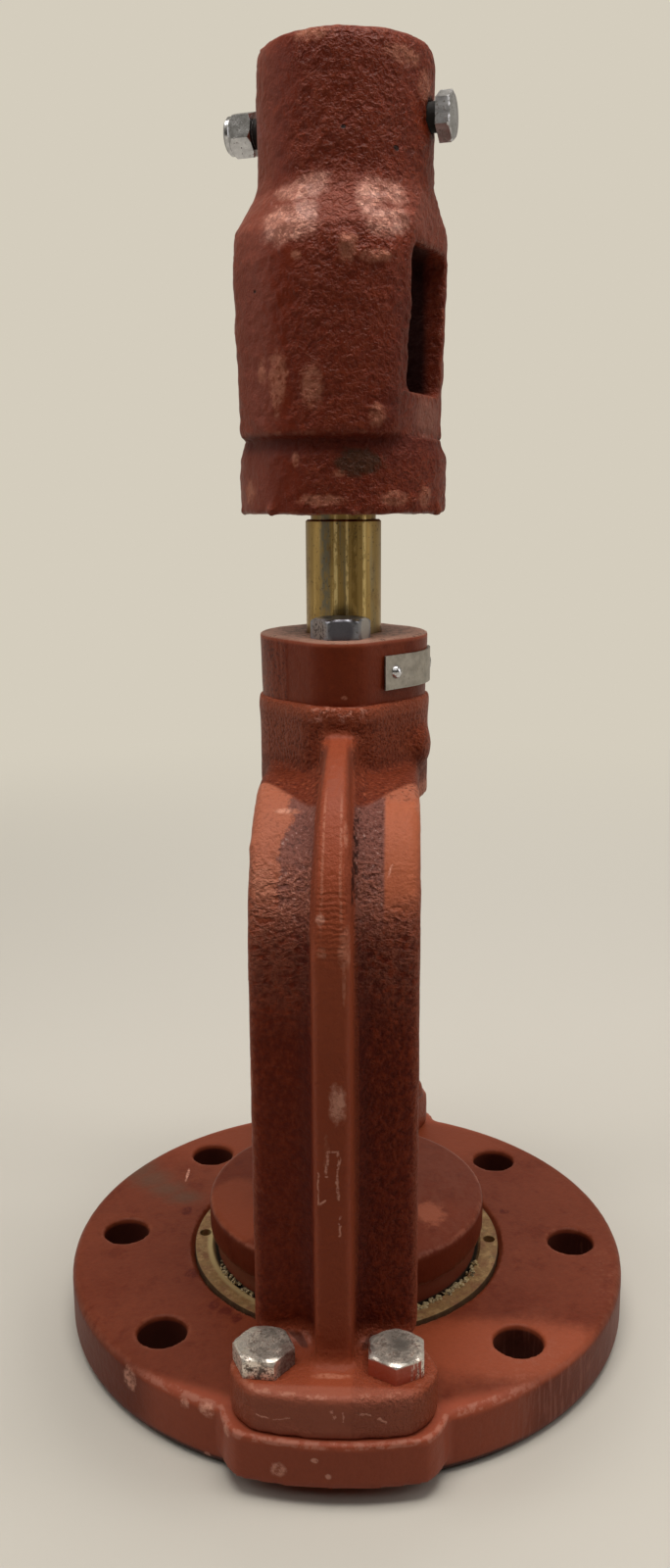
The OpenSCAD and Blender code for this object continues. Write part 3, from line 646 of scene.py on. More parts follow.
def coupling_finish(paint):
    """Coarse wet-looking primer in folds with painted highlights and shade, shining paint on the shoulder
    with a painted highlight, and rubbed lumps.
    """
    finish = primer(
        "Coupling Primer", paint, 0.38, grain=(0.8, 0.16), pebble=(2.6, 0.5), cloudy=0.4, worn=0.5)
    coat, mark, mottle = finish.coat, finish.mark, finish.mottle
    x, y, z = finish.xyz(finish.place)
    # Crisp folds in the paint, all but on the smooth strip that faces left
    wavy = finish.sway(10, 12, 0.02)
    rugged = 0.18 + 0.82 * (x + wavy).rise(-0.019, -0.01)
    folds = finish.folds(0.0042, 13) * rugged
    bits = mottle(1.6, 14).rise(0.42, 0.6) * rugged
    finish.raise_by(folds * (0.42 * MM) + bits * (0.2 * MM))
    # The smooth strip that faces left is painted lighter as a painted sheen
    coat((0.3, 0.078, 0.048), (x + wavy * 0.5).rise(-0.019, -0.026) * 0.45)
    # The folds' crests painted lighter as painted highlights, the hollows between them darker as painted
    # shade
    light, dark = (0.27, 0.052, 0.021), (0.07, 0.006, 0.002)
    coat(light, folds * bits * 0.55, rough=0.32)
    coat(dark, (1 - folds) * (1 - bits) * rugged * 0.35)
    # Painted shade inside the windows
    across = finish.from_axis(x, y)
    window_shade = across.rise(0.0335, 0.03) * z.band(0.3685, 0.372, 0.44, 0.434)
    coat((0.016, 0.001, 0.0005), window_shade * 0.95, rough=0.8)
    # The body is darkened beside the window as painted shade
    window_side_shade = mark((25.5, -31, 385, 7, 9, 24), (22, -33.5, 365, 7, 7, 9), ragged=0.3, soft=0.7)
    coat(dark, window_side_shade * 0.45)
    # The shadowed turn under the body's lip
    under = (z + wavy * 0.1).rise(0.3555, 0.3535) * (z + wavy * 0.2).rise(0.343, 0.352)
    coat(dark, under * 0.6, rough=0.6)
    # Heavier paint on the shoulder, left and right of a rough band, with a painted highlight: the shoulder
    # painted lighter, its patches pink with painted glints over real relief and gloss
    shoulder_sheen = mark(
        (-19.5, -33, 422.5, 6, 9, 6), (-12, -36, 424, 5, 9, 6.5), (-14.5, -34, 434, 10, 9, 3.4),
        (-8, -35, 436.5, 5, 9, 3.4), (11, -36, 431.5, 4.4, 9, 7), (18.5, -34, 433, 5, 9, 4),
        (17, -35, 423, 6.5, 9, 4.6), ragged=0.6, soft=0.45)
    painted_glints = mottle(1.7, 15).rise(0.46, 0.62)
    coat((0.3, 0.08, 0.05), z.band(0.416, 0.426, 0.44, 0.434) * 0.5)
    coat((0.8, 0.37, 0.27), shoulder_sheen * (0.36 + 0.6 * painted_glints), rough=0.42)
    finish.raise_by(shoulder_sheen * painted_glints * (0.16 * MM))
    finish.varnish(shoulder_sheen * 0.3)
    # Rubbed paint: on the body, under the neck's rim and on the lumps
    finish.chips([
        (-21, -35, 371.5, 3.2, 6, 9.5), (-26.8, -31, 375, 1.8, 5, 4.5), (-9, -40, 370, 3.6, 4, 7),
        (-14, -38, 412, 2.2, 4, 1.6), (3.8, -40.5, 414, 3.2, 3, 4.5), (13, -39, 411.4, 6.5, 4, 2.2),
        (13.6, -39, 360, 3, 3, 3.6), (22, -24, 476.5, 6.5, 8, 3), (-9, -30.5, 482, 7, 6, 2),
        (30, -16, 470, 3, 6, 5), (20, -33, 332.5, 6, 5, 2.4), (30.5, -23, 333, 3, 4, 3.4),
        (-7, -38, 332, 8, 4, 2), (-33, -20, 335, 3, 5, 4), (0, -38, 341, 2.4, 3, 1.2),
        (-15, -35, 346, 1.4, 3, 2.4),
    ], SCUFF, 0.75, 0.5)
    # Old oil on the collar, and the dull flat below the window
    coat((0.045, 0.022, 0.008), mark((8, -38, 345, 8.5, 5, 4.2), ragged=0.9) * 0.75, rough=0.3)
    coat((0.34, 0.135, 0.095), mark((31.4, -8, 361, 5, 13, 7), ragged=0.4) * 0.65, rough=0.6)
    # A blowhole in the neck and a few in the body, painted dark as the shade inside them
    pits = mark(
        (19.6, -26.3, 447.6, 1.1, 1.5, 0.9), (-28.5, -29, 402, 0.7, 1.2, 0.9),
        (2, -31.8, 453, 0.8, 1.2, 0.6), (24, -32.4, 377, 0.8, 1.2, 0.7), ragged=0.3, soft=0.2)
    coat(SHADE_BLACK, pits)
    finish.raise_by(pits * (-0.6 * MM))
    return finish.done()


class MUDVALVE_OT_coupling(bpy.types.Operator):
    """Casts the coupling: drafted body, rounded shoulder, pebbled primer with drips at its lower edge"""
    bl_idname = "mud_valve.coupling"
    bl_label = "Coupling"

    def execute(self, context):
        settings = context.scene.mud_valve.coupling
        # Drips of paint on the lower edge, scabs above it, and lumps on the shoulder and the body
        lumps = [
            (-24.3, -29.7, 328.4, 2, 1.7, 2.2), (34.8, -15.2, 328.2, 2.2, 2, 2.4),
            (5, -37.8, 328, 2.4, 1.4, 1.5), (-36.4, -9, 328.2, 1.8, 1.8, 1.8),
            (20, 32.6, 328.3, 2.2, 1.8, 2), (-12, 36.2, 328.3, 1.7, 1.6, 2),
            (18.5, -33.4, 332.6, 3, 1.6, 1.7), (26, -28, 331.5, 2.4, 1.5, 1.8),
            (30.5, -22.9, 333.5, 1.7, 1.5, 2.2), (3, -40.2, 415.4, 2.2, 1.4, 2.6),
            (5.4, -39.9, 411.5, 1.8, 1.3, 1.8), (8.5, -39.6, 412.5, 1.8, 1.2, 1.3),
            (11.5, -38.9, 410.2, 3, 1.3, 1.2), (15.5, -37.2, 411.8, 2.4, 1.3, 1.2),
            (18.6, -35.6, 414, 1.6, 1.2, 1.8), (13, -38.4, 362.2, 1.8, 1.3, 1.6),
            (15.2, -37.6, 359.6, 1.6, 1.3, 2.2), (12.4, -38.7, 358.2, 1.3, 1.1, 1.6),
            (-7, -39.9, 392, 1, 0.9, 1), (-27.3, -29.4, 398, 0.9, 0.9, 1.2),
        ]
        casting("coupling", "coupling_casting", STEM_BODY, settings, coupling_finish(settings.paint),
                "primer_coupling", lumps=lumps, reshape=coupling_shape)
        return {"FINISHED"}


def yoke_shape(points):
    """Narrows the ribs towards their tops and the feet towards the webs, and rounds the boss. Millimetres."""
    x, y, z = points.T
    rib, web = 7.5, 14.0
    narrow = np.interp(z, [200, 225, 249], [1.0, 0.88, 0.62])
    side = np.abs(x)
    beyond = np.interp(side, [rib, web], [0, 1]) * (web - rib * narrow) + rib * narrow
    drawn = np.where(side < rib, side * narrow, beyond)
    moved = (side < web) & (np.abs(y) > 50) & (z > 200) & (z < 253)
    x = np.where(moved, np.sign(x) * drawn, x)
    # The boss ends in a rounded ledge, a little wider than the cap, which the paint fills up to it
    outside = np.clip((np.hypot(x, y) - 24) / 4, 0, 1)
    ledge = 1 + 0.018 * outside * np.interp(z, [251, 255.5, 257.5], [0, 1, 0.6])
    risen = 1.7 * outside * np.interp(z, [253, 257], [0, 1])
    # The feet draw in towards the webs behind their bolts
    middle = 20
    room = np.interp(np.abs(y), [80, 88, 96, 104], [0.45, 0.52, 0.78, 1])
    drawn = np.sign(x) * (middle + (np.abs(x) - middle) * room)
    x = np.where((z < 41.5) & (np.abs(x) > middle), drawn, x)
    return np.column_stack([x * ledge, y * ledge, z + risen])


def yoke_finish(paint):
    """The yoke's spray, sand grain, tears, dusty strips, chips and scratches, with painted highlights and
    painted shade, coat by coat.
    """
    finish = primer("Yoke Primer", paint, 0.5, grain=(0.9, 0.22), pebble=(2.2, 0.55))
    coat, mottle = finish.coat, finish.mottle
    x, y, z = finish.xyz(finish.place)
    side, out = abs(x), abs(y)
    across = finish.from_axis(x, y)
    wavy = finish.sway(8, 51, 0.01)
    # The spray lies thicker and more orange on the shoulders, the ribs, the boss and the feet
    turned = finish.turned(x, y)
    shoulder = (z + wavy).rise(0.188, 0.21)
    coat((0.47, 0.145, 0.078), shoulder * 0.9, rough=0.42)
    smooth = turned.band(0.016, 0.0172, 0.0292, 0.0284) \
        * (z + wavy * 0.8).rise(0.195, 0.207) * z.rise(0.2315, 0.2295)
    coat((0.44, 0.115, 0.05), smooth * 0.85, rough=0.5)
    # Beside the ribs lies a rough, dusty strip: straight on one side, ragged and spreading on the other
    edge = finish.sway(6, 54, 0.012, 4, 0.65)
    spread = turned.rise(0.002, -0.002)
    width = 0.0168 + spread * (z.rise(0.232, 0.205) * 0.003 - 0.001)
    dusty = (side + edge * spread.most(0.08) - width).rise(0.0008, -0.0008) \
        * (z + wavy * 1.5).rise(0.184, 0.208) * (z + edge * 0.2).rise(0.2325, 0.2305)
    specks = mottle(1.2, 56, 3, 0.7)
    coat((0.175, 0.066, 0.054), dusty * 0.85, rough=0.5)
    coat((0.06, 0.02, 0.016), dusty * specks.rise(0.46, 0.38) * 0.6)
    # Painted glints among the dust's specks
    coat((0.5, 0.33, 0.29), dusty * specks.rise(0.58, 0.68) * 0.7, rough=0.35)
    finish.raise_by(dusty * specks * (0.3 * MM))
    # Slanting tears in the sand lower down, their crests painted lighter as painted highlights, with painted
    # glints
    bark = finish.folds(0.004, 55, stretch=(0.8, 1.0, 1.25))
    torn = (z + wavy).band(0.15, 0.185, 0.222, 0.206) * side.rise(0.006, 0.008) * (1 - smooth)
    coat((0.36, 0.115, 0.068), torn * bark * 0.65, rough=0.38)
    painted_glints = specks.rise(0.52, 0.62) * spread * z.rise(0.18, 0.2)
    coat((0.66, 0.28, 0.185), torn * bark * painted_glints * 0.6, rough=0.35)
    finish.raise_by(torn * bark * (0.55 * MM))
    # The ribs, which narrow towards their tops
    narrow = 1 - 0.12 * z.rise(0.2, 0.225) - 0.22 * z.rise(0.23, 0.249)
    across_rib = (side + wavy * 0.08) / narrow
    rib = across_rib.rise(0.008, 0.0064) * out.rise(0.08, 0.086).most(z.rise(0.205, 0.215)) \
        * z.rise(0.253, 0.25)
    coat((0.28, 0.054, 0.021), rib * 0.9)
    coat((0.34, 0.072, 0.029), rib * z.band(0.135, 0.19, 0.246, 0.222) * 0.8, rough=0.45)
    # Their sides are darkened as painted shade, and their edges carry painted highlights
    high = rib * z.rise(0.19, 0.205)
    coat((0.22, 0.04, 0.014), high * across_rib.rise(0.0042, 0.0052) * 0.6)
    rib_edge_highlight = across_rib.band(0.0024, 0.0031, 0.004, 0.0033) * z.rise(0.24, 0.232)
    coat((0.5, 0.19, 0.115), high * rib_edge_highlight * specks.rise(0.4, 0.52) * 0.6, rough=0.35)
    # The boss is darker too, and below its middle its fillet is darkened further as painted shade
    boss = z.rise(0.2245, 0.2285) * (out + side).rise(0.0775, 0.0745) * (1 - rib)
    coat((0.225, 0.036, 0.009), boss * 0.95)
    coat((0.085, 0.009, 0.002), boss * z.rise(0.243, 0.233) * 0.5, rough=0.6)
    # Sand grain with dark pits on the boss and the webs
    sand = mottle(1.3, 57)
    right_half = turned.rise(0.002, 0.007)
    coarse_side = boss.most((0.4 + 0.6 * right_half) * (1 - rib * 0.85)) * (1 - smooth * 0.85)
    finish.raise_by(sand.rise(0.36, 0.62) * coarse_side * (0.32 * MM))
    coat((0.06, 0.006, 0.001), sand.rise(0.48, 0.37) * coarse_side * 0.65, rough=0.6)
    # Slanting grain on the webs, its hollows darkened as painted shade and its crests painted lighter as
    # painted highlights, with painted shade in the corners towards the ribs
    web = z.rise(0.205, 0.185) * (1 - rib)
    grain_share = (0.7 + 0.3 * right_half) * web
    grainy = mottle(1.7, 60, 2, stretch=(1.0, 0.8, 0.65))
    coat((0.065, 0.004, 0.001), grainy.rise(0.52, 0.38) * grain_share * 0.55, rough=0.6)
    coat((0.3, 0.05, 0.017), grainy.rise(0.52, 0.66) * grain_share * (0.3 + 0.35 * z.rise(0.1, 0.18)))
    finish.raise_by(grainy * grain_share * (0.45 * MM))
    coat((0.05, 0.003, 0.001), (side + wavy * 0.2).rise(0.015, 0.0085) * web * z.rise(0.042, 0.048) * 0.5)
    coat((0.36, 0.095, 0.045), sand.rise(0.56, 0.66) * boss * 0.6)
    # The ledge under the cap is painted paler as a highlight, and spotted in the middle
    ledge = z.rise(0.2535, 0.256) * across.rise(0.028, 0.03)
    coat((0.3, 0.066, 0.028), ledge * 0.7)
    spots = mottle(2.4, 58, 3, 0.65).rise(0.5, 0.6)
    coat((0.5, 0.2, 0.14), ledge * spots * side.rise(0.014, 0.008) * 0.7)
    foot = (z + wavy * 0.3).rise(0.05, 0.044)
    coat((0.31, 0.066, 0.028), foot * 0.85, rough=0.4)
    # The feet's fronts are duller and painted lighter, partly as painted light bounced up from below, and
    # their upper edges are worn pink
    front = foot * out.rise(0.1155, 0.1175)
    coat((0.36, 0.11, 0.068), front * 0.7, rough=0.5)
    # The foot of each web carries a painted highlight, and the walls beside the bolts are darkened as painted
    # shade
    web_foot_highlight = z.band(0.041, 0.0425, 0.0455, 0.0435) * (1 - rib) * side.band(0.0275, 0.0265, 0.0075, 0.0095)
    coat((0.46, 0.185, 0.135), web_foot_highlight * mottle(7, 62).rise(0.4, 0.55) * 0.55, rough=0.35)
    low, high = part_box("foot_bolt_front_right")
    from_bolt = finish.from_axis(side - (low.x + high.x) / 2, out + (low.y + high.y) / 2)
    coat((0.02, 0.002, 0.001), from_bolt.band(0.012, 0.0126, 0.015, 0.0142)
         * z.band(0.0406, 0.041, 0.0448, 0.0434) * side.rise(0.0086, 0.0102) * 0.6)
    worn = finish.worn_edges() * z.band(0.039, 0.0398, 0.0425, 0.0415) \
        * mottle(3.5, 59, 4, 0.7).rise(0.48, 0.6)
    coat((0.5, 0.21, 0.14), worn * 0.75, rough=0.5)
    # The outer edge of each web, and the foundry's rough strip along the rib's right side
    coat((0.26, 0.055, 0.022), (side + wavy * 0.2).rise(0.0262, 0.0285) * z.rise(0.22, 0.2) * 0.6)
    strip = finish.mark(*twins(7.4, -98, 130, 1.5, 9, 75), ragged=0.4, soft=0.2)
    coat((0.28, 0.058, 0.018), strip * 0.35)
    # Chatter marks across the rib where it turns into the leg, their troughs darkened as painted shade
    bend = mottle(4.5, 52) * 0.0036
    waves = 0.5 + 0.5 * finish.math("SINE", (z + bend) * (math.tau / 0.0019))
    turn = rib * z.band(0.184, 0.192, 0.216, 0.206) * across_rib.rise(0.0056, 0.0036)
    finish.raise_by(waves * turn * (0.12 * MM))
    finish.shade(1 - turn * (1 - waves) * 0.16)
    # A broken gap between the front rib's right side and the flash beside it, painted dark as shade
    rib_gap_shade = turned.band(0.006, 0.0066, 0.0084, 0.0078) * z.band(0.203, 0.206, 0.229, 0.226) \
        * mottle(3, 65).rise(0.46, 0.54)
    coat(SHADE_BLACK, rib_gap_shade * 0.85, rough=0.8)
    # Rubbed and chipped places, and fine scratches on the rib and the foot
    finish.chips([
        (-23.5, -86.5, 208, 3.6, 5, 6.5), (-16, -68, 228, 3.5, 3, 0.9), (5, -105.5, 192, 2.4, 3, 6),
        (4.2, -106, 182, 0.5, 2, 9), (-2.8, -105.6, 190.5, 1.5, 2, 1.8), (30, -60, 228, 3, 6, 2),
        (-7, -93, 222, 1.4, 4, 6), (4.4, -90, 226, 0.8, 3, 9), (-2, -108, 120, 1.4, 2, 8),
        (-28.6, -88, 140, 0.9, 4, 5), *twins(0, -111.5, 40.6, 6.5, 1.2, 1.8),
    ], SCUFF, 0.8, 0.5)
    finish.chips([
        (1.8, -106, 138, 2.6, 2, 6.2), (-3.4, -104, 201, 1.4, 2, 1.6), (-18, -67.5, 228, 2.8, 2.4, 0.6),
        (4, 106, 90, 2.4, 2, 5),
    ], CHIP, 0.7, 0.6)
    scratches = [
        (-1.3, -106, 121, 1.7, -106, 121), (1.7, -106, 121, 1.5, -106, 103),
        (-1.3, -106, 121, -1.7, -106, 112), (-4.6, -105.7, 113, -4.9, -105.6, 101),
        (-4.9, -105.6, 101, -2.4, -106, 103), (2.4, -106, 97, 2.2, -106, 90),
        (-15.5, -92, 211, -13, -89, 203), (17, -88, 207, 19, -83, 213),
        (-25.3, -120.2, 31.5, -20, -121.4, 30.3), (-20, -121.4, 30.3, -14.2, -122.1, 31.6),
        (-0.3, -122.8, 35.3, 0.8, -122.8, 32.6), (3.2, -122.8, 34.5, 4, -122.7, 31.6),
        (8.5, -122.5, 35, 12.5, -122.1, 33.4), (16, -121.8, 32.5, 18, -121.5, 30.5),
    ]
    lines = finish.any_of(finish.scratch(line, 0.55) for line in scratches)
    coat(CHIP, lines * mottle(2, 53, 3, 0.7).rise(0.4, 0.54) * 0.7)
    return finish.done()


class MUDVALVE_OT_yoke(bpy.types.Operator):
    """Casts the yoke: two ribbed legs, their feet and the boss"""
    bl_idname = "mud_valve.yoke"
    bl_label = "Yoke"

    def execute(self, context):
        settings = context.scene.mud_valve.yoke
        # A scab on the back foot, one on the left shoulder, and flash beside the front rib
        lumps = [
            (30, 98, 46, 4, 6, 5), (30.5, 99, 41, 4.8, 6, 5), (-27.5, -76, 217, 2.4, 3, 3),
            (-12.5, -70.5, 226.5, 3, 1.5, 1.5), (6.6, -88.5, 221, 1.2, 3, 3), (28.8, -8, 241, 4.9, 12, 9.5),
            (6.8, -93.5, 212, 1.2, 3, 4), (6.6, -97.5, 204, 1.1, 2.4, 3),
        ]
        casting("yoke", "yoke_casting", FRAME_BODY, settings, yoke_finish(settings.paint), "primer_yoke",
                lumps=lumps, reshape=yoke_shape)
        return {"FINISHED"}


def cap_shape(points):
    """Drafts the cap a little towards the boss. Millimetres."""
    low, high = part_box("yoke_cap")
    x, y, z = points.T
    share = np.interp(z * MM, [low.z, high.z], [0.976, 1.0])
    share = np.where(np.hypot(x, y) > 25, share, 1)
    return np.column_stack([x * share, y * share, z])


def cap_finish(paint):
    """Primer brushed upright, a rough left flank and a dusty top with a painted reflection."""
    finish = primer("Cap Primer", paint, 0.42, grain=(0.8, 0.1), pebble=(2.2, 0.25))
    coat, mottle = finish.coat, finish.mottle
    x, y, z = finish.xyz(finish.place)
    # Brushed upright on its sides
    brushed = mottle(2.5, 61, stretch=(1.0, 1.0, 0.08))
    finish.shade(0.85 + 0.3 * brushed)
    # Its left flank is rough and scratched upright
    flank = finish.turned(x, y).rise(-0.019, -0.0205)
    coat((0.26, 0.064, 0.034), flank * brushed.rise(0.46, 0.6) * 0.65)
    grit = mottle(1.4, 63)
    coat((0.05, 0.007, 0.003), flank * grit.rise(0.5, 0.38) * 0.65)
    finish.raise_by(flank * (grit * (0.28 * MM) + brushed * (0.22 * MM)))
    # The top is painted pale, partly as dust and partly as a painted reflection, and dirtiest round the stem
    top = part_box("yoke_cap")[1].z
    above = z.rise(top - 0.001, top - 0.0004)
    coat((0.33, 0.075, 0.034), z.rise(top - 0.0024, top - 0.0012) * 0.7)
    coat((0.42, 0.25, 0.185), above * 0.75, rough=0.6)
    across = finish.from_axis(x, y)
    dirt = mottle(1.8, 64, 4, 0.7)
    coat((0.06, 0.042, 0.028), above * (dirt + across.rise(0.034, 0.018) * 0.1).rise(0.53, 0.65) * 0.7)
    # Paint rubbed off the lower edge of its nose and off its corners
    finish.chips([
        (-6, -40.5, 258.6, 6, 3, 1.4), (12, -39, 258.8, 8, 4, 1.2), (-24, -28, 279, 1.5, 3, 2),
        (-27, -26, 259, 3, 3, 1.5), (2, -41, 263, 1.2, 2, 0.8), (10, 40, 258.8, 9, 3, 1.4),
    ], SCUFF, 0.85, 0.5)
    return finish.done()


class MUDVALVE_OT_cap(bpy.types.Operator):
    """Casts the cap that holds the stem's collar down"""
    bl_idname = "mud_valve.cap"
    bl_label = "Cap"

    def execute(self, context):
        settings = context.scene.mud_valve.cap
        casting("yoke_cap", "cap_casting", FRAME_BODY, settings, cap_finish(settings.paint), "primer_cap",
                reshape=cap_shape)
        return {"FINISHED"}


def flange_shape(points):
    """Lifts the lugs' undersides a little off the floor. Millimetres."""
    x, y, z = points.T
    share = np.clip((np.hypot(x, y) - 113) / 4, 0, 1)
    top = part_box("base_flange")[1].z / MM
    return np.column_stack([x, y, z + share * 2.6 * (1 - z / top)])


def flange_finish(paint):
    """Smooth primer over a faced casting: paler lugs partly as painted light, bores darkened as painted
    shade, a dark rim, painted light on the top, a grease stain, scuffs.
    """
    finish = primer("Flange Primer", paint, 0.46, grain=(0.8, 0.06), pebble=(2.4, 0.14), worn=0.12)
    coat, mark, mottle = finish.coat, finish.mark, finish.mottle
    x, y, z = finish.xyz(finish.place)
    out = abs(y)
    # More paint on the lugs, painted lighter too as light bounced up from below, with a painted shadow under
    # them, and a painted sheen at the front right of the top
    lug = (out + abs(x) * 0.35).rise(0.112, 0.119)
    coat((0.36, 0.08, 0.04), lug * 0.85, rough=0.44)
    coat(SHADE_BLACK, lug * z.rise(0.0044, 0.0032) * 0.9)
    coat((0.33, 0.072, 0.03), mark((62, -72, 24, 46, 17, 6), ragged=0.2) * 0.85, rough=0.4)
    across = finish.from_axis(x, y)
    # The rim is darker than the top
    rim = across.rise(0.1125, 0.1145) * z.rise(0.0225, 0.0205) * (1 - lug)
    coat((0.14, 0.018, 0.005), rim * 0.75)
    peel = mottle(1.7, 74)
    finish.raise_by(peel * (0.07 * MM))
    finish.shade(0.86 + 0.28 * peel)
    # Worn pink along the lugs' upper edges
    worn = finish.worn_edges() * lug * z.rise(0.0215, 0.0225) \
        * mottle(3.5, 73, 4, 0.7).rise(0.44, 0.56)
    coat((0.48, 0.2, 0.14), worn * 0.6, rough=0.5)
    # The back of the top is painted lighter, as painted light from the bright room behind
    coat((0.26, 0.054, 0.021), mark(
        (-60, 82, 24, 45, 25, 4), (40, 88, 24, 45, 20, 4), ragged=0.3, soft=0.6) * 0.7)
    # Dark bores, on the circle of eight
    sector = math.tau / 8
    turned = finish.math("ARCTAN2", y, x)
    turned = turned - finish.math("ROUND", turned / sector) * sector
    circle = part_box("base_flange")[1].x - 20.05 * MM
    cosine, sine = finish.math("COSINE", turned), finish.math("SINE", turned)
    # Bores darkened as painted shade, on the circle of eight
    from_hole = finish.from_axis(across * cosine - circle, across * sine)
    bore_shade = from_hole.rise(0.0102, 0.0096) * z.rise(0.0226, 0.0214)
    coat((0.045, 0.008, 0.004), bore_shade * 0.85, rough=0.7)
    # Grease on the back left, dark freckles round the seat
    stain = mark(
        (-100, 52, 24, 7, 9, 3), (-92, 43, 24, 7.5, 7, 3),
        (-84, 35, 24, 7.5, 6, 3), (-75, 28, 24, 7, 5, 3), ragged=0.4, soft=0.8)
    coat((0.1, 0.065, 0.042), stain * 0.55, rough=0.4)
    finish.chips([
        (-71.6, 17, 24, 2.5, 3.5, 2), (-62, -30, 24, 3, 3, 2), (-45, -54.5, 24, 3, 3.5, 2),
        (-40, -58.5, 24, 2.4, 3, 2), (-50, -50, 24, 2.2, 3.5, 2), (69, 22, 24, 2, 2, 2),
    ], (0.085, 0.01, 0.005), 0.9, 0.5)
    # Chips on the rim and the front lug, then upright scratches on the rim's right
    finish.chips([
        (-76, -86.6, 18, 2.8, 4, 4.2), (-44.6, -106.1, 21, 2.6, 4, 2.4), (-53, -102.5, 20.5, 1.6, 4, 1.6),
        (-76.5, 48, 24, 0.7, 5, 2), (-17.9, -124, 13, 2.6, 3, 2.4), (-5.5, -125, 18, 1.2, 2, 0.9),
        (-1, -125, 12, 1, 2, 1), (-36.5, -116.5, 21.5, 1.4, 3, 2), (-45, -107, 3, 1.2, 3, 1.2),
    ], CHIP, 0.75, 0.6)
    scored = mottle(1.6, 71, stretch=(1.0, 1.0, 0.1)).rise(0.5, 0.64)
    rub = mark((77, -84, 13, 26, 26, 12), ragged=0.5, soft=0.7)
    coat((0.34, 0.115, 0.074), (0.25 + 0.75 * scored) * rub * 0.6)
    rub = mark((108, -30, 13, 12, 40, 11), ragged=0.4, soft=0.5)
    coat((0.3, 0.105, 0.07), scored * rub * 0.4)
    coat(CHIP, finish.scratch((-25, -123, 14, -23, -123.4, 3), 0.5) * 0.5)
    rough_turn = mottle(6, 72, 4, 0.65)
    finish.raise_by(rough_turn * z.rise(0.023, 0.021) * (0.25 * MM))
    return finish.done()


class MUDVALVE_OT_flange(bpy.types.Operator):
    """Makes the base flange with its lugs, faced and drilled, primed and scuffed"""
    bl_idname = "mud_valve.flange"
    bl_label = "Base Flange"

    def execute(self, context):
        settings = context.scene.mud_valve.flange
        casting("base_flange", "flange_casting", FRAME_BODY, settings, flange_finish(settings.paint),
                "primer_flange", reshape=flange_shape)
        return {"FINISHED"}


def disc_finish(paint):
    """Smooth primer turned in rings, with a dusty bloom and a paler zone of painted reflection."""
    finish = primer("Disc Primer", paint, 0.44, grain=(0.8, 0.05), pebble=(2.4, 0.12))
    coat, mark = finish.coat, finish.mark
    x, y, z = finish.xyz(finish.place)
    # Turned in rings on top, with a pink bloom and a scab of paint on the right
    across = finish.from_axis(x, y)
    rings = finish.noise(finish.join_xyz(across, 0.0, 0.0), 0.0018, 2.0, 0.5, seed=81)
    finish.raise_by(rings * (0.03 * MM))
    above = z.rise(0.0452, 0.0462)
    dust = finish.mottle(4.5, 83, 4, 0.7, stretch=(1.0, 0.5, 1.0))
    bloom = mark((34, -8, 48, 26, 50, 8), ragged=0.5, soft=0.7) * above
    coat((0.2, 0.058, 0.034), bloom * (0.3 + 0.7 * dust.rise(0.4, 0.6)) * 0.45, rough=0.5)
    coat((0.36, 0.1, 0.05), mark((34.7, -21.5, 48.5, 6, 8, 4), ragged=0.8) * 0.7, rough=0.35)
    # A paler, more orange zone by the left edge, a painted reflection
    pale = mark((-46, -22, 47.5, 15, 26, 4), ragged=0.12, soft=0.12) * above
    coat((0.28, 0.062, 0.024), pale * 0.55)
    return finish.done()


class MUDVALVE_OT_disc(bpy.types.Operator):
    """Makes the disc with its hub and guide forks, primed, and its bronze facing ring and nut"""
    bl_idname = "mud_valve.disc"
    bl_label = "Disc"

    def execute(self, context):
        settings = context.scene.mud_valve.disc
        casting("disc", "disc_casting", DISC_BODY, settings, disc_finish(settings.paint), "primer_disc")
        ring = bronze_finish("Facing Bronze", (0.1, 0.07, 0.04), 37)
        # The disc's paint runs down over its facing
        painted = ring.xyz(ring.place)[2].rise(0.0235, 0.025)
        ring.coat((0.19, 0.024, 0.007), painted * 0.97, rough=0.5, metal=0.0)
        # Below the paint the facing is darkened as painted shade
        ring.coat((0.008, 0.006, 0.004), (1 - painted) * 0.85, rough=0.8, metal=0.0)
        dress("disc_facing_ring", ring.done())
        dress("disc_nut", bronze_finish("Nut Bronze", (0.36, 0.26, 0.12), 39).done())
        return {"FINISHED"}


# ---------------------------------------------------------------- fasteners

def flat_grid(graph, given):
    """A grid to be wrapped round an axis, and its two shares from 0 to 1: round the axis and along it."""
    grid = graph.node("GeometryNodeMeshGrid", {}, {
        "Size X": 1.0, "Size Y": 1.0, "Vertices X": given["Around"], "Vertices Y": given["Along"]})
    across, along, _ = graph.xyz(graph.node("GeometryNodeInputPosition", {}, {}))
    return grid, across + 0.5, along + 0.5


def wrap_grid(graph, given, grid, place):
    """Ends a tree that wraps a grid: its points go to their places, and its seam and poles are joined."""
    body = graph.node("GeometryNodeSetPosition", {}, {"Geometry": grid, "Position": place})
    body = graph.node("GeometryNodeMergeByDistance", {}, {"Geometry": body, "Distance": SAME_POINT})
    return close_tree(graph, body, given["Material"])


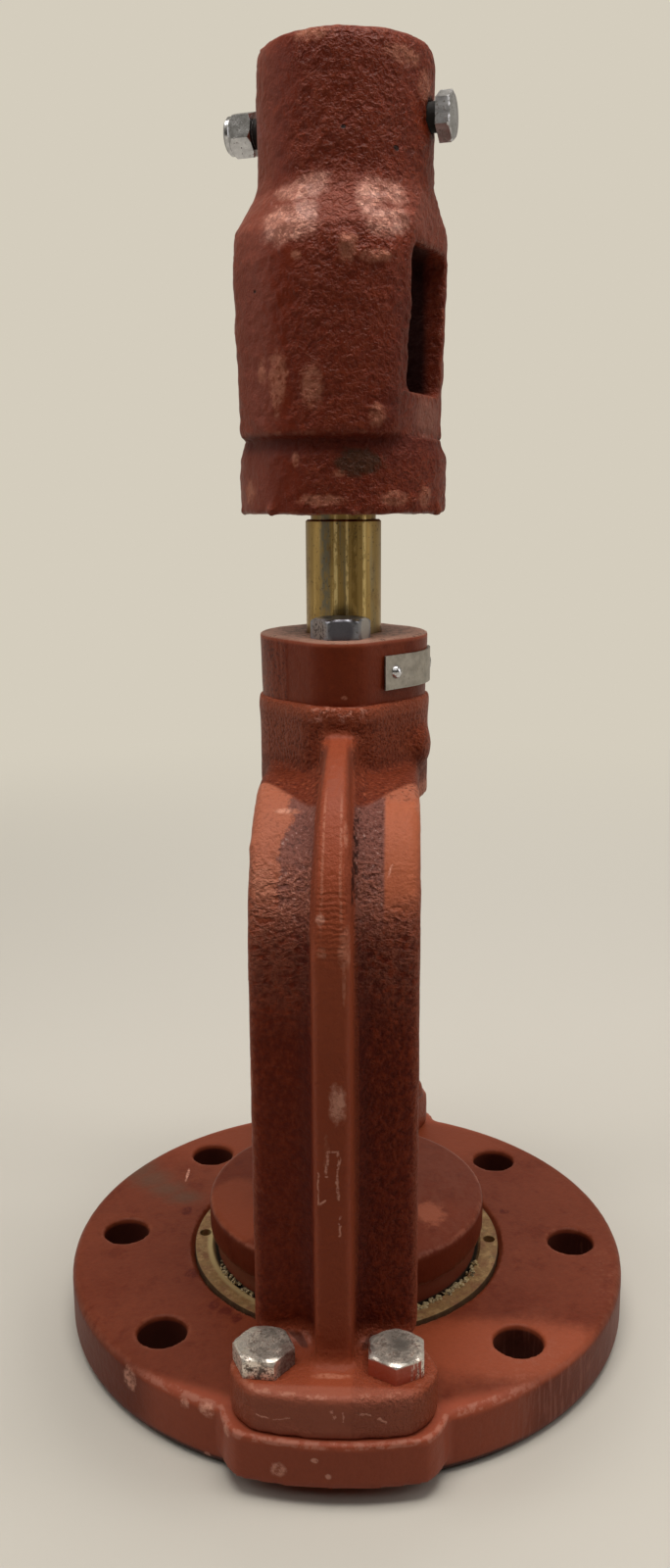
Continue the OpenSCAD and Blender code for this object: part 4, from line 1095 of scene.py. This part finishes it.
def hexagon_head_tree():
    """A hexagon head with turned-back corners over its shank, its bearing face at height 0."""
    graph, given = open_tree("Hexagon Head", ["Around", "Along"], [
        "Across Flats", "Height", "Shank Diameter", "Shank Length", "Slope", "Edge", "Turn"])
    grid, across, along = flat_grid(graph, given)
    angle = across * math.tau
    # Five equal stages: over the tip, up the shank, out under the head, up its side, over its top
    stages = [(along * 5 - number).clamp() for number in range(5)]
    apothem = given["Across Flats"] / 2
    sector = graph.math("WRAP", angle, math.pi / 6, -math.pi / 6)
    flat = apothem / graph.math("COSINE", sector)
    height = given["Height"] * stages[3]
    turned = apothem * 0.96 + (given["Height"] - height) / given["Slope"]
    rim = graph.math("SMOOTH_MIN", flat, turned, given["Edge"])
    shank = given["Shank Diameter"] / 2
    radius = (shank * stages[0] + (rim - shank) * stages[2]) * (1 - stages[4])
    level = height - given["Shank Length"] * (1 - stages[1])
    return wrap_grid(graph, given, grid, graph.round_place(radius, angle + given["Turn"], level))


def thread_tree():
    """A threaded rod along +Z from height 0, with a groove that winds round it. Closed at both ends."""
    graph, given = open_tree("Thread", ["Around", "Along"], [
        "Diameter", "Length", "Lead", "Depth", "Hand", "Flat"])
    grid, across, along = flat_grid(graph, given)
    angle = across * math.tau
    # The grid's first and last rows close the ends, and the rest run up the rod
    share = (along * 1.02 - 0.01).clamp()
    level = share * given["Length"]
    turns = level / given["Lead"] - given["Hand"] * across
    wave = graph.math("PINGPONG", turns, 0.5) * 2
    groove = wave.rise(given["Flat"], 1 - given["Flat"])
    open_end = (along * 200).clamp() * ((1 - along) * 200).clamp()
    radius = (given["Diameter"] / 2 - groove * given["Depth"]) * open_end
    return wrap_grid(graph, given, grid, graph.round_place(radius, angle, level))


def grown(tree_name, name, values):
    """A new piece grown by a tree from nothing, as a plain mesh."""
    piece = new_piece(name, bpy.data.meshes.new(name))
    add_tree(piece, bpy.data.node_groups[tree_name], values)
    return crisp(settle(piece))


def node_points(node):
    """A node's corners as an array, in metres."""
    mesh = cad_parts[node].data
    points = np.empty(len(mesh.vertices) * 3, np.float32)
    mesh.vertices.foreach_get("co", points)
    return points.reshape(-1, 3).astype(float)


def head_turn(points):
    """Bearing of a hexagon's first corner, from points that are centred on its axis and stand along +Z."""
    reach = np.hypot(points[:, 0], points[:, 1])
    corner = points[np.argmax(reach)]
    return math.atan2(corner[1], corner[0]) + math.pi / 6


def head_height():
    """Height of the half-inch bolts' heads: what stands above the cap."""
    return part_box("cap_bolt_front")[1].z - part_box("yoke_cap")[1].z


def upright_bolt(node, bearing_z, settings, material, slot, further=0.0):
    """The bolt of a CAD node whose head stands on a face at bearing_z, turned further by an angle."""
    low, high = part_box(node)
    axis = (low + high) / 2
    points = node_points(node) - np.array([axis.x, axis.y, 0])
    head = points[points[:, 2] > bearing_z + SAME_POINT]
    shank = points[points[:, 2] < bearing_z - MM]
    reach = np.hypot(head[:, 0], head[:, 1]).max()
    piece = grown("Hexagon Head", node + "_turned", {
        "Around": settings.around + 1, "Along": settings.along, "Across Flats": reach * math.sqrt(3),
        "Height": high.z - bearing_z, "Shank Diameter": 2 * np.hypot(shank[:, 0], shank[:, 1]).max(),
        "Shank Length": bearing_z - low.z, "Slope": settings.slope, "Edge": settings.edge,
        "Turn": head_turn(head) + further, "Material": material})
    piece.data.transform(Matrix.Translation((axis.x, axis.y, bearing_z)))
    return finish_piece(piece, FRAME_BODY, slot, node)


def metal_finish(name, colour, rough, speck, speck_share, relief, seed):
    """Plated or bare metal with cloudy brightness and dull specks in its pits."""
    finish = Finish(name, tuple(colour), rough, 1.0)
    clouds = finish.mottle(3.5, seed, 4, 0.65)
    pits = finish.mottle(0.9, seed + 1, 3, 0.65)
    finish.shade(0.3 + 1.4 * clouds)
    finish.rough = rough + 0.4 * (clouds - 0.5)
    specks = pits.rise(0.6 - speck_share, 0.68 - speck_share) * clouds.rise(0.3, 0.55)
    finish.coat(tuple(speck), specks * 0.9, rough=0.75, metal=0.15)
    finish.raise_by((clouds * 0.1 + pits * 0.06) * relief * MM)
    return finish


class MUDVALVE_OT_cap_bolts(bpy.types.Operator):
    """Turns the cap's two zinc-plated bolts"""
    bl_idname = "mud_valve.cap_bolts"
    bl_label = "Cap Bolts"

    def execute(self, context):
        settings = context.scene.mud_valve.fastener
        zinc = metal_finish("Zinc Plate", (0.26, 0.265, 0.3), 0.34, (0.1, 0.08, 0.07), 0.02, 0.8, 3)
        dull = zinc.mark(*twins(-8.4, -32.8, 286.5, 4.2, 5, 5), ragged=0.4)
        grains = zinc.mottle(1.2, 93, 3, 0.65)
        zinc.coat((0.3, 0.235, 0.2), dull * 0.8, rough=0.6, metal=0.5)
        zinc.coat((0.035, 0.025, 0.02), dull * grains.rise(0.5, 0.42) * 0.8, rough=0.7, metal=0.2)
        # The front faces are painted dark and the right faces pale, as painted reflections of the dim room
        # before them and the bright room beside them
        front_face_reflection = zinc.mark(*twins(1.3, -37.2, 286.2, 5.4, 2.6, 5.2), ragged=0.1, soft=0.15)
        zinc.coat((0.085, 0.08, 0.1), front_face_reflection * 0.8, rough=0.4, metal=0.8)
        pale = zinc.mark(*twins(9.6, -30, 286.5, 2.6, 4.4, 5), ragged=0.1, soft=0.15)
        zinc.coat((0.5, 0.46, 0.4), pale * 0.7, rough=0.55, metal=0.5)
        zinc = zinc.done()
        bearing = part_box("yoke_cap")[1].z
        for node in ("cap_bolt_front", "cap_bolt_back"):
            upright_bolt(node, bearing, settings, zinc, "zinc_fastener", math.radians(-25))
        return {"FINISHED"}


def weathered_finish(name, settings, seed):
    """A weathered foot bolt's plating: mottled grey on top, a painted highlight at the rim, with rust in its
    pits.
    """
    finish = metal_finish(name, (0.8, 0.72, 0.64), 0.42, settings.rust, 0.1, 1.6, seed)
    mottled = finish.mottle(2.1, seed + 3, 4, 0.7)
    finish.coat((0.09, 0.06, 0.045), mottled.rise(0.5, 0.6) * 0.8, rough=0.65, metal=0.3)
    finish.raise_by(mottled * (0.25 * MM))
    x, y, z = finish.xyz(finish.place)
    low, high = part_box("foot_bolt_front_right")
    middle = (low + high) / 2
    across = finish.from_axis(abs(x) - middle.x, abs(y) + middle.y)
    top = z.rise(high.z - 0.0008, high.z - 0.0003)
    stain = finish.mottle(5, seed + 2, 4, 0.65).rise(0.38, 0.6)
    finish.coat((0.15, 0.125, 0.105), top * stain * across.rise(0.0095, 0.0075) * 0.75, rough=0.6, metal=0.5)
    # A painted highlight round the rim of the head
    rim = across.rise(0.0078, 0.009) * z.rise(high.z - 0.0034, high.z - 0.0016)
    finish.coat((0.78, 0.74, 0.68), rim * (1 - stain * 0.6) * 0.7, rough=0.3, metal=1.0)
    return finish


class MUDVALVE_OT_foot_bolts(bpy.types.Operator):
    """Turns the four weathered bolts of the yoke's feet"""
    bl_idname = "mud_valve.foot_bolts"
    bl_label = "Foot Bolts"

    def execute(self, context):
        scene = context.scene.mud_valve
        settings, paint = scene.fastener, tuple(scene.yoke.paint)
        worn = weathered_finish("Weathered Plate", settings, 8)
        worn.coat((0.1, 0.028, 0.016), worn.mark(
            (-15.5, -108, 42.5, 4, 7, 5.5), (-15, -103, 42, 3.5, 6, 5.5),
            (15.5, 108, 42.5, 4, 7, 5.5), ragged=0.4) * 0.85, rough=0.6, metal=0.1)
        # One bolt was caught by the paint, and later scratched; its paint is painted lighter than the yoke's
        # as painted light on the head's shaded sides
        painted = weathered_finish("Painted Plate", settings, 12)
        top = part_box("foot_bolt_front_right")[1].z
        x, _, z = painted.xyz(painted.place)
        uneven = painted.sway(4, 91, 0.006, 4, 0.65)
        scratched = painted.mottle(1.6, 92, stretch=(1.0, 1.0, 0.15)).rise(0.47, 0.53)
        bared = scratched * x.rise(0.0262, 0.028)
        covered = (z + uneven * 0.3).rise(top - 0.0007, top - 0.0014) * (1 - bared)
        painted.coat((2.8 * paint[0], 3.6 * paint[1], 7.0 * paint[2]), covered * 0.97, rough=0.4, metal=0.0)
        rubbed = painted.mark((23.5, -103.6, top / MM, 4.2, 4.2, 2), soft=0.8)
        painted.coat((0.09, 0.08, 0.07), rubbed * 0.7, rough=0.6)
        worn, painted = worn.done(), painted.done()
        for side in ("front", "back"):
            for hand in ("left", "right"):
                node = f"foot_bolt_{side}_{hand}"
                material = painted if node == "foot_bolt_front_right" else worn
                upright_bolt(node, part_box(node)[1].z - head_height(), settings, material, "worn_fastener")
        return {"FINISHED"}


def neck_centre():
    """Middle of the coupling's neck at its mouth, where it leans off the stem's axis."""
    points = node_points("coupling")
    mouth = points[points[:, 2] > points[:, 2].max() - MM]
    return (mouth.min(axis=0) + mouth.max(axis=0)) / 2


def cross_frame():
    """Frame of the coupling bolt: its origin on the neck's axis, +Z towards its head."""
    low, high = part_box("coupling_bolt")
    nut_low, nut_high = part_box("lock_nut")
    middle = neck_centre()
    nut = (nut_low + nut_high) / 2
    bearing = math.atan2(middle[1] - nut.y, middle[0] - nut.x)
    place = Matrix.Translation((middle[0], middle[1], (low.z + high.z) / 2))
    return place @ Matrix.Rotation(bearing, 4, "Z") @ Matrix.Rotation(math.pi / 2, 4, "Y")


def along_cross(node):
    """A node's corners in the coupling bolt's frame."""
    points = node_points(node)
    turned = np.array(cross_frame().inverted())
    return points @ turned[:3, :3].T + turned[:3, 3]


class MUDVALVE_OT_coupling_bolt(bpy.types.Operator):
    """Turns the bright bolt that crosses the neck"""
    bl_idname = "mud_valve.coupling_bolt"
    bl_label = "Coupling Bolt"

    def execute(self, context):
        settings = context.scene.mud_valve.fastener
        dull = metal_finish("Bright Bolt", (0.5, 0.5, 0.52), 0.34, (0.22, 0.2, 0.18), 0.06, 1.0, 13)
        points = along_cross("coupling_bolt")
        reach = np.hypot(points[:, 0], points[:, 1])
        head = points[reach > reach.max() * 0.8]
        shank = points[reach < reach.max() * 0.7]
        bearing = head[:, 2].min()
        # The shank is painted dark as the shade in the gap between the head and the neck
        turned = cross_frame()
        away = dull.vector("SUBTRACT", dull.place, turned.translation)
        along = dull.vector("DOT_PRODUCT", away, turned.to_3x3() @ Vector((0, 0, 1)), "Value")
        shank_gap_shade = abs(along).rise(bearing - 0.0001, bearing - 0.0004)
        dull.coat((0.012, 0.01, 0.009), shank_gap_shade, rough=0.8, metal=0.0)
        bolt = grown("Hexagon Head", "coupling_bolt_turned", {
            "Around": settings.around + 1, "Along": settings.along,
            "Across Flats": reach.max() * math.sqrt(3), "Height": head[:, 2].max() - bearing,
            "Shank Diameter": 2 * np.hypot(shank[:, 0], shank[:, 1]).max() * 0.98,
            "Shank Length": bearing - shank[:, 2].min(), "Slope": settings.slope, "Edge": settings.edge,
            "Turn": head_turn(head), "Material": dull.done()})
        bolt.data.transform(turned @ Matrix.Translation((0, 0, bearing)))
        finish_piece(bolt, STEM_BODY, "bright_fastener", "coupling_bolt")
        return {"FINISHED"}


def merged(name, pieces, material):
    """Joins several pieces' meshes into one piece of one material."""
    form = bmesh.new()
    for piece in pieces:
        form.from_mesh(piece.data)
    for face in form.faces:
        face.material_index = 0
    for piece in pieces:
        bpy.data.objects.remove(piece)
    return shaped_piece(name, form, material)


def square_bar(name, across, low, high, bearing, material):
    """An upright square bar with its edges broken."""
    form = bmesh.new()
    size = Matrix.Diagonal((across, across, high - low, 1.0))
    place = Matrix.Translation((0, 0, (low + high) / 2)) @ Matrix.Rotation(bearing, 4, "Z")
    bmesh.ops.create_cube(form, size=1.0, matrix=place @ size)
    bmesh.ops.bevel(form, geom=form.edges[:], offset=0.6 * MM, segments=2, affect="EDGES")
    return shaped_piece(name, form, material)


class MUDVALVE_OT_stem(bpy.types.Operator):
    """Turns the brass stem: left-hand thread inside the yoke, collar, shank, square and threaded end"""
    bl_idname = "mud_valve.stem"
    bl_label = "Stem"

    def execute(self, context):
        settings = context.scene.mud_valve.stem
        brass = brass_finish("Turned Brass", settings.brass, (
            (-6.2, 2.6, (0.2, 0.19, 0.15)), (-2.3, 0.9, (0.95, 0.74, 0.36)), (1.9, 0.7, (0.9, 0.68, 0.32)),
            (8.2, 0.8, (0.85, 0.64, 0.28)), (4.6, 1.6, (0.2, 0.12, 0.035))))
        low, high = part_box("stem")
        points = node_points("stem")
        reach = np.hypot(points[:, 0], points[:, 1])
        foot, shank = low.z, reach[points[:, 2] < low.z + MM].max()
        end = reach[points[:, 2] > high.z - MM].max()
        collar = points[reach > reach.max() - 0.1 * MM, 2]
        thread_top = foot + settings.threaded
        screw = grown("Thread", "stem_screw", {
            "Around": 65, "Along": 520, "Diameter": 2 * shank, "Length": settings.threaded,
            "Lead": settings.lead, "Depth": settings.depth, "Hand": -1.0, "Flat": 0.22, "Material": brass})
        screw.data.transform(Matrix.Translation((0, 0, foot)))
        seat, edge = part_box("stem_top_washer")[0].z, 0.7 * MM
        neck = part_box("coupling")[0].z
        shoulder, narrow = neck - settings.neck, 0.861 * shank
        bar = lathe("stem_bar", [
            (0, thread_top - MM), (shank - settings.depth, thread_top - MM), (shank, thread_top + 2 * MM),
            (shank, collar.min()), (reach.max() - edge, collar.min()), (reach.max(), collar.min() + edge),
            (reach.max(), collar.max() - edge), (reach.max() - edge, collar.max()), (shank, collar.max()),
            (shank, shoulder - edge), (shank - edge, shoulder), (narrow, shoulder),
            (narrow, neck), (end, neck), (end, seat - 2 * MM), (0, seat - 2 * MM)], 96, brass)
        square = square_bar("stem_square", settings.square, neck - MM, seat, WINDOW_BEARING, brass)
        tip = grown("Thread", "stem_tip", {
            "Around": 49, "Along": 150, "Diameter": 2 * end, "Length": high.z - seat + MM,
            "Lead": 2.31 * MM, "Depth": 1.2 * MM, "Hand": 1.0, "Flat": 0.12, "Material": brass})
        tip.data.transform(Matrix.Translation((0, 0, seat - MM)))
        stem = crisp(merged("stem_turned", [screw, bar, square, tip], brass), 35)
        finish_piece(stem, STEM_BODY, "stem_brass", "stem")
        return {"FINISHED"}


def brass_finish(name, colour, painted_reflections=()):
    """Turned brass: bright and dull streaks along the stem, tool marks round it, dark specks.

    painted_reflections lists upright lines of painted reflection on the front, bright or dull, each a place
    across, half a width and a colour."""
    finish = Finish(name, tuple(colour), 0.3, 1.0)
    streaks = finish.mottle(3.5, 21, 4, 0.65, stretch=(1.0, 1.0, 0.04))
    clouds = finish.mottle(14, 22, 5, 0.65, stretch=(1.0, 1.0, 0.6))
    finish.shade(0.25 + 1.15 * streaks + 0.35 * clouds)
    # Greyed in streaks, browned in clouds, brightened in streaks, and painted reflections in upright lines on
    # the front
    finish.coat((0.22, 0.21, 0.15), streaks.rise(0.46, 0.36) * 0.5, rough=0.42)
    finish.coat((0.14, 0.07, 0.022), clouds.rise(0.5, 0.68) * 0.7, rough=0.45)
    finish.coat((0.62, 0.44, 0.17), streaks.rise(0.56, 0.66) * 0.7, rough=0.2)
    broken = finish.mottle(1.2, 25, 3, 0.65, stretch=(1.0, 1.0, 0.35)).rise(0.4, 0.54)
    x, y, z = finish.xyz(finish.place)
    for place, width, shade in painted_reflections:
        line = abs(x - place * MM).rise(width * MM, width * MM * 0.4) * y.rise(0.0, -0.002)
        finish.coat(shade, line * z.rise(0.279, 0.284) * (0.25 + 0.75 * broken) * 0.8, rough=0.3)
    specks = finish.mottle(1.1, 23).rise(0.6, 0.66)
    finish.coat((0.045, 0.025, 0.012), specks * clouds.rise(0.36, 0.56) * 0.85, rough=0.7, metal=0.3)
    rings = finish.mottle(1.6, 24, 2, 0.5, stretch=(0.05, 0.05, 1.0))
    finish.raise_by(rings * (0.03 * MM) + streaks * (0.04 * MM))
    return finish.done()


def bronze_finish(name="Stained Bronze", colour=(0.46, 0.35, 0.19), seed=31):
    """Stained bronze of the seat: tan, mottled with green, grey and rust."""
    finish = Finish(name, colour, 0.5, 0.35)
    clouds = finish.mottle(6, seed, 5, 0.65)
    fine = finish.mottle(1.8, seed + 3, 4, 0.65)
    finish.shade(0.55 + 0.9 * fine)
    finish.coat((0.2, 0.085, 0.035), clouds.rise(0.5, 0.64) * 0.8, rough=0.7, metal=0.1)
    green = finish.mottle(4, seed + 1, 4)
    finish.coat((0.16, 0.125, 0.055), green.rise(0.54, 0.66) * 0.6, rough=0.7, metal=0.1)
    finish.coat((0.04, 0.03, 0.018), fine.rise(0.62, 0.7) * 0.6, rough=0.8, metal=0.0)
    finish.raise_by(clouds * (0.2 * MM) + fine * (0.1 * MM))
    return finish


def crumbs_tree():
    """Corroded crumbs strewn along an arc about the Z axis, each turned and sized by chance."""
    graph, given = open_tree("Crumbs", ["Count", "Seed"], [
        "From", "To", "Radius", "Spread", "Height", "Size"])

    def chance(low, high, number, kind="FLOAT"):
        inputs = {"Min": low, "Max": high, "Seed": graph.math("ADD", given["Seed"], float(number))}
        return graph.node("FunctionNodeRandomValue", {"data_type": kind}, inputs)

    bearing = chance(given["From"], given["To"], 1)
    radius = given["Radius"] + chance(-0.5, 0.5, 2) * given["Spread"]
    place = graph.round_place(radius, bearing, given["Height"])
    points = graph.node("GeometryNodePoints", {}, {"Count": given["Count"], "Position": place})
    stone = graph.node("GeometryNodeMeshIcoSphere", {}, {"Radius": given["Size"], "Subdivisions": 2})
    crumbs = graph.node("GeometryNodeInstanceOnPoints", {}, {
        "Points": points, "Instance": stone,
        "Rotation": chance((0.0, 0.0, 0.0), (math.tau,) * 3, 3, "FLOAT_VECTOR"),
        "Scale": chance((0.35, 0.35, 0.25), (1.2, 1.1, 0.8), 4, "FLOAT_VECTOR")})
    crumbs = graph.node("GeometryNodeRealizeInstances", {}, {0: crumbs})
    where = graph.node("GeometryNodeInputPosition", {}, {})
    normal = graph.node("GeometryNodeInputNormal", {}, {})
    dents = (graph.noise(where, 0.0012, seed=6) - 0.5) * given["Size"] * 1.4
    crumbs = graph.node("GeometryNodeSetPosition", {}, {
        "Geometry": crumbs, "Offset": graph.vector("SCALE", normal, dents)})
    return close_tree(graph, crumbs, given["Material"])


class MUDVALVE_OT_seat(bpy.types.Operator):
    """Finishes the seat ring of stained bronze and strews the corroded crumbs along its lip"""
    bl_idname = "mud_valve.seat"
    bl_label = "Seat Ring"

    def execute(self, context):
        settings = context.scene.mud_valve.seat
        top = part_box("seat_ring")[1].z
        bronze = bronze_finish("Stained Bronze", tuple(settings.bronze))
        x, y, _ = bronze.xyz(bronze.place)
        across = bronze.from_axis(x, y)
        blotted = bronze.mottle(3.2, 33, 4, 0.7)
        bronze.coat((0.42, 0.26, 0.115), blotted.rise(0.5, 0.64) * 0.7, rough=0.5, metal=0.4)
        bronze.coat((0.16, 0.05, 0.018), blotted.rise(0.48, 0.38) * 0.7, rough=0.7, metal=0.0)
        lip = across.band(0.06, 0.0582, 0.0562, 0.057)
        bronze.coat((0.62, 0.47, 0.22), lip * (-1 * x).rise(0.0, 0.02) * 0.85, rough=0.35, metal=0.6)
        # The bore inside the lip and the groove outside the ring are darkened as painted shade
        bronze.coat((0.012, 0.009, 0.006), across.rise(0.0566, 0.0556) * 0.9, rough=0.8, metal=0.0)
        bronze.coat((0.03, 0.018, 0.01), across.rise(0.0641, 0.0645) * 0.8, rough=0.8, metal=0.0)
        dress("seat_ring", bronze.done())
        crumb = Finish("Corroded Crumbs", (0.42, 0.33, 0.19), 0.8)
        mottled = crumb.mottle(1.6, 35, 4, 0.65)
        crumb.coat((0.06, 0.045, 0.03), mottled.rise(0.5, 0.4) * 0.85)
        crumb.coat((0.3, 0.2, 0.07), crumb.mottle(4, 36).rise(0.5, 0.6) * 0.6)
        material = crumb.done()
        for name, count, start, end, radius, size in (
            ("right", settings.crumbs, -68, -18, 57.2, 1.25),
            ("left", settings.crumbs * 2 // 3, -158, -112, 55.8, 1.0),
            ("back", settings.crumbs // 2, 20, 160, 56.5, 0.8),
        ):
            crumbs = grown("Crumbs", "seat_crumbs_" + name, {
                "Count": count, "From": math.radians(start), "To": math.radians(end), "Radius": radius * MM,
                "Spread": 2.6 * MM, "Height": top - 0.2 * MM, "Size": size * MM, "Seed": settings.seed,
                "Material": material})
            finish_piece(crumbs, FRAME_BODY, "seat_bronze")
        return {"FINISHED"}


class MUDVALVE_OT_small_parts(bpy.types.Operator):
    """Finishes the small pieces whose solids already have their real shape"""
    bl_idname = "mud_valve.small_parts"
    bl_label = "Small Parts"

    def execute(self, context):
        bright, plate, zinc = (metal_finish(*row).done() for row in (
            ("Bright Plate", (0.55, 0.55, 0.57), 0.18, (0.2, 0.18, 0.16), 0.0, 0.4, 15),
            ("Dull Aluminium", (0.36, 0.33, 0.29), 0.5, (0.2, 0.15, 0.12), 0.0, 0.4, 17),
            ("Washer Zinc", (0.36, 0.37, 0.4), 0.36, (0.1, 0.08, 0.07), 0.02, 0.6, 19)))
        nylon = Finish("Nylon", (0.55, 0.57, 0.6), 0.4)
        for node, material in (
            ("nameplate", plate), ("nameplate_rivet_front", bright), ("nameplate_rivet_side", bright),
            ("lock_nut", bright), ("lock_nut_insert", nylon.done()), ("stem_top_washer", zinc),
            ("stem_top_nut", brass_finish("Nut Brass", (0.42, 0.27, 0.09))),
        ):
            dress(node, material)
        # The side rivet was hammered flatter than the front one
        rivet = cad_copy("nameplate_rivet_side", "side_rivet")
        face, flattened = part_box("nameplate")[1].x, 0.3
        for vertex in rivet.data.vertices:
            far = math.hypot(vertex.co.x, vertex.co.y)
            if far > face:
                share = (face + (far - face) * flattened) / far
                vertex.co.x, vertex.co.y = vertex.co.x * share, vertex.co.y * share
        rivet.data.materials.append(bright)
        finish_piece(crisp(rivet), FRAME_BODY, "bright_fastener", "nameplate_rivet_side")
        return {"FINISHED"}


# ---------------------------------------------------------------- studio

def ray_share(graph, kind):
    """1 for the rays of a kind, 0 for the others."""
    return graph.node("ShaderNodeLightPath", {}, {}, kind)


def seen_share(graph):
    """1 for rays from the camera and for mirror images, 0 for the rays that light the object."""
    return ray_share(graph, "Is Camera Ray").most(ray_share(graph, "Is Glossy Ray"))


def soft_lamp(name, place, aim, size, power, colour):
    """A large soft rectangular lamp that looks at a point."""
    data = bpy.data.lights.new(name, "AREA")
    data.shape = "RECTANGLE"
    data.size, data.size_y = size
    data.energy = power
    data.color = colour
    lamp = bpy.data.objects.new(name, data)
    lamp.location = place
    lamp.rotation_euler = (Vector(aim) - Vector(place)).to_track_quat("-Z", "Y").to_euler()
    bpy.context.scene.collection.objects.link(lamp)
    return lamp


class MUDVALVE_OT_studio(bpy.types.Operator):
    """Sets the pale floor, the soft lamps, the background and the camera"""
    bl_idname = "mud_valve.studio"
    bl_label = "Studio"

    def execute(self, context):
        settings = context.scene.mud_valve.studio
        self.set_camera(settings)
        self.set_background(settings)
        self.make_floor(settings)
        middle = (0, 0, 0.22)
        pale = (1.0, 0.98, 0.95)
        soft_lamp("overhead", (0.03, -0.13, 1.48), middle, (1.3, 0.6), 17.5, (1.0, 0.96, 0.9))
        soft_lamp("front", (0.0, -0.9, 1.2), middle, (1.2, 0.4), 1.7, (1.0, 0.97, 0.93))
        soft_lamp("left", (-1.2, -0.1, 0.8), middle, (0.5, 1.0), 2.8, pale)
        soft_lamp("right", (1.2, -0.1, 0.8), middle, (0.5, 1.0), 3.4, pale)
        behind = soft_lamp("back", (0.2, 1.3, 0.7), middle, (1.4, 0.8), 7.0, pale)
        # It lights the back but leaves no shine on what lies flat before the camera
        behind.visible_glossy = False
        context.scene.view_settings.view_transform = "Standard"
        return {"FINISHED"}

    def set_camera(self, settings):
        data = bpy.data.cameras.new("camera")
        data.sensor_fit = "VERTICAL"
        data.sensor_height = 36
        data.lens = settings.lens
        data.clip_start = 0.01
        camera = bpy.data.objects.new("camera", data)
        yaw, down, roll = settings.aim
        # Level and facing +Y, then pitched down, turned and rolled
        turn = Matrix.Rotation(yaw, 4, "Z") @ Matrix.Rotation(math.pi / 2 - down, 4, "X")
        camera.matrix_world = Matrix.Translation(settings.eye) @ turn @ Matrix.Rotation(roll, 4, "Z")
        bpy.context.scene.collection.objects.link(camera)
        bpy.context.scene.camera = camera

    def set_background(self, settings):
        world = bpy.data.worlds.new("studio")
        world.use_nodes = True
        bpy.context.scene.world = world
        graph = Graph(world.node_tree)
        graph.tree.nodes.clear()
        way = graph.node("ShaderNodeTexCoord", {}, {}, "Object")
        _, back, up = graph.xyz(graph.vector("NORMALIZE", way))
        # The room is bright at the back, and dim towards the camera
        glow = 0.01 + 0.25 * back.rise(0.0, 0.9)
        light = graph.node("ShaderNodeBackground", {}, {"Color": (1.0, 0.97, 0.93), "Strength": glow})
        mirror = graph.node("ShaderNodeBackground", {}, {
            "Color": settings.back[:], "Strength": 0.1 + 0.4 * back.rise(-0.5, 0.6).most(up.rise(0.2, 0.9))})
        behind = graph.node("ShaderNodeBackground", {}, {"Color": settings.back[:], "Strength": 1.0})
        glossy, straight = ray_share(graph, "Is Glossy Ray"), ray_share(graph, "Is Camera Ray")
        dim = graph.node("ShaderNodeMixShader", {}, {0: glossy, 1: light, 2: mirror})
        both = graph.node("ShaderNodeMixShader", {}, {0: straight, 1: dim, 2: behind})
        leave = graph.tree.nodes.new("ShaderNodeOutputWorld")
        graph.put(leave.inputs[0], both)

    def make_floor(self, settings):
        form = bmesh.new()
        bmesh.ops.create_circle(form, cap_ends=True, segments=96, radius=4.0)
        finish = Finish("Floor", (0.36, 0.34, 0.31), 0.6)
        finish.coat(settings.floor[:], seen_share(finish))
        surface = Value(finish, finish.shader.outputs[0])
        finish.done()
        far = finish.vector("LENGTH", finish.place, out="Value").rise(0.35, 1.3)
        behind = finish.node("ShaderNodeEmission", {}, {"Color": settings.back[:], "Strength": 1.0})
        both = finish.node("ShaderNodeMixShader", {}, {0: far * seen_share(finish), 1: surface, 2: behind})
        leave = next(node for node in finish.tree.nodes if node.type == "OUTPUT_MATERIAL")
        finish.put(leave.inputs[0], both)
        floor = shaped_piece("floor", form, finish.material)


# ---------------------------------------------------------------- panel and run

STEPS = (
    "studio", "flange", "seat", "yoke", "cap", "disc", "stem", "coupling",
    "cap_bolts", "foot_bolts", "coupling_bolt", "small_parts",
)


class MUDVALVE_PT_panel(bpy.types.Panel):
    """Lists the steps that dress the valve"""
    bl_idname = "MUDVALVE_PT_panel"
    bl_label = "Mud Valve"
    bl_space_type = "VIEW_3D"
    bl_region_type = "UI"
    bl_category = "Mud Valve"

    def draw(self, context):
        for step in STEPS:
            self.layout.operator("mud_valve." + step)


CLASSES = (
    CouplingSettings, YokeSettings, CapSettings, FlangeSettings, DiscSettings, FastenerSettings,
    StemSettings, SeatSettings, StudioSettings, ValveSettings,
    MUDVALVE_OT_studio, MUDVALVE_OT_flange, MUDVALVE_OT_seat, MUDVALVE_OT_yoke, MUDVALVE_OT_cap,
    MUDVALVE_OT_disc, MUDVALVE_OT_stem, MUDVALVE_OT_coupling, MUDVALVE_OT_cap_bolts,
    MUDVALVE_OT_foot_bolts, MUDVALVE_OT_coupling_bolt, MUDVALVE_OT_small_parts, MUDVALVE_PT_panel,
)


def register():
    for item in CLASSES:
        bpy.utils.register_class(item)
    bpy.types.Scene.mud_valve = PointerProperty(type=ValveSettings)


def unregister():
    del bpy.types.Scene.mud_valve
    for item in reversed(CLASSES):
        bpy.utils.unregister_class(item)


def main():
    register()
    for make_tree in (cast_skin_tree, hexagon_head_tree, thread_tree, crumbs_tree):
        make_tree()
    for step in STEPS:
        getattr(bpy.ops.mud_valve, step)()


if __name__ == "__main__":
    main()
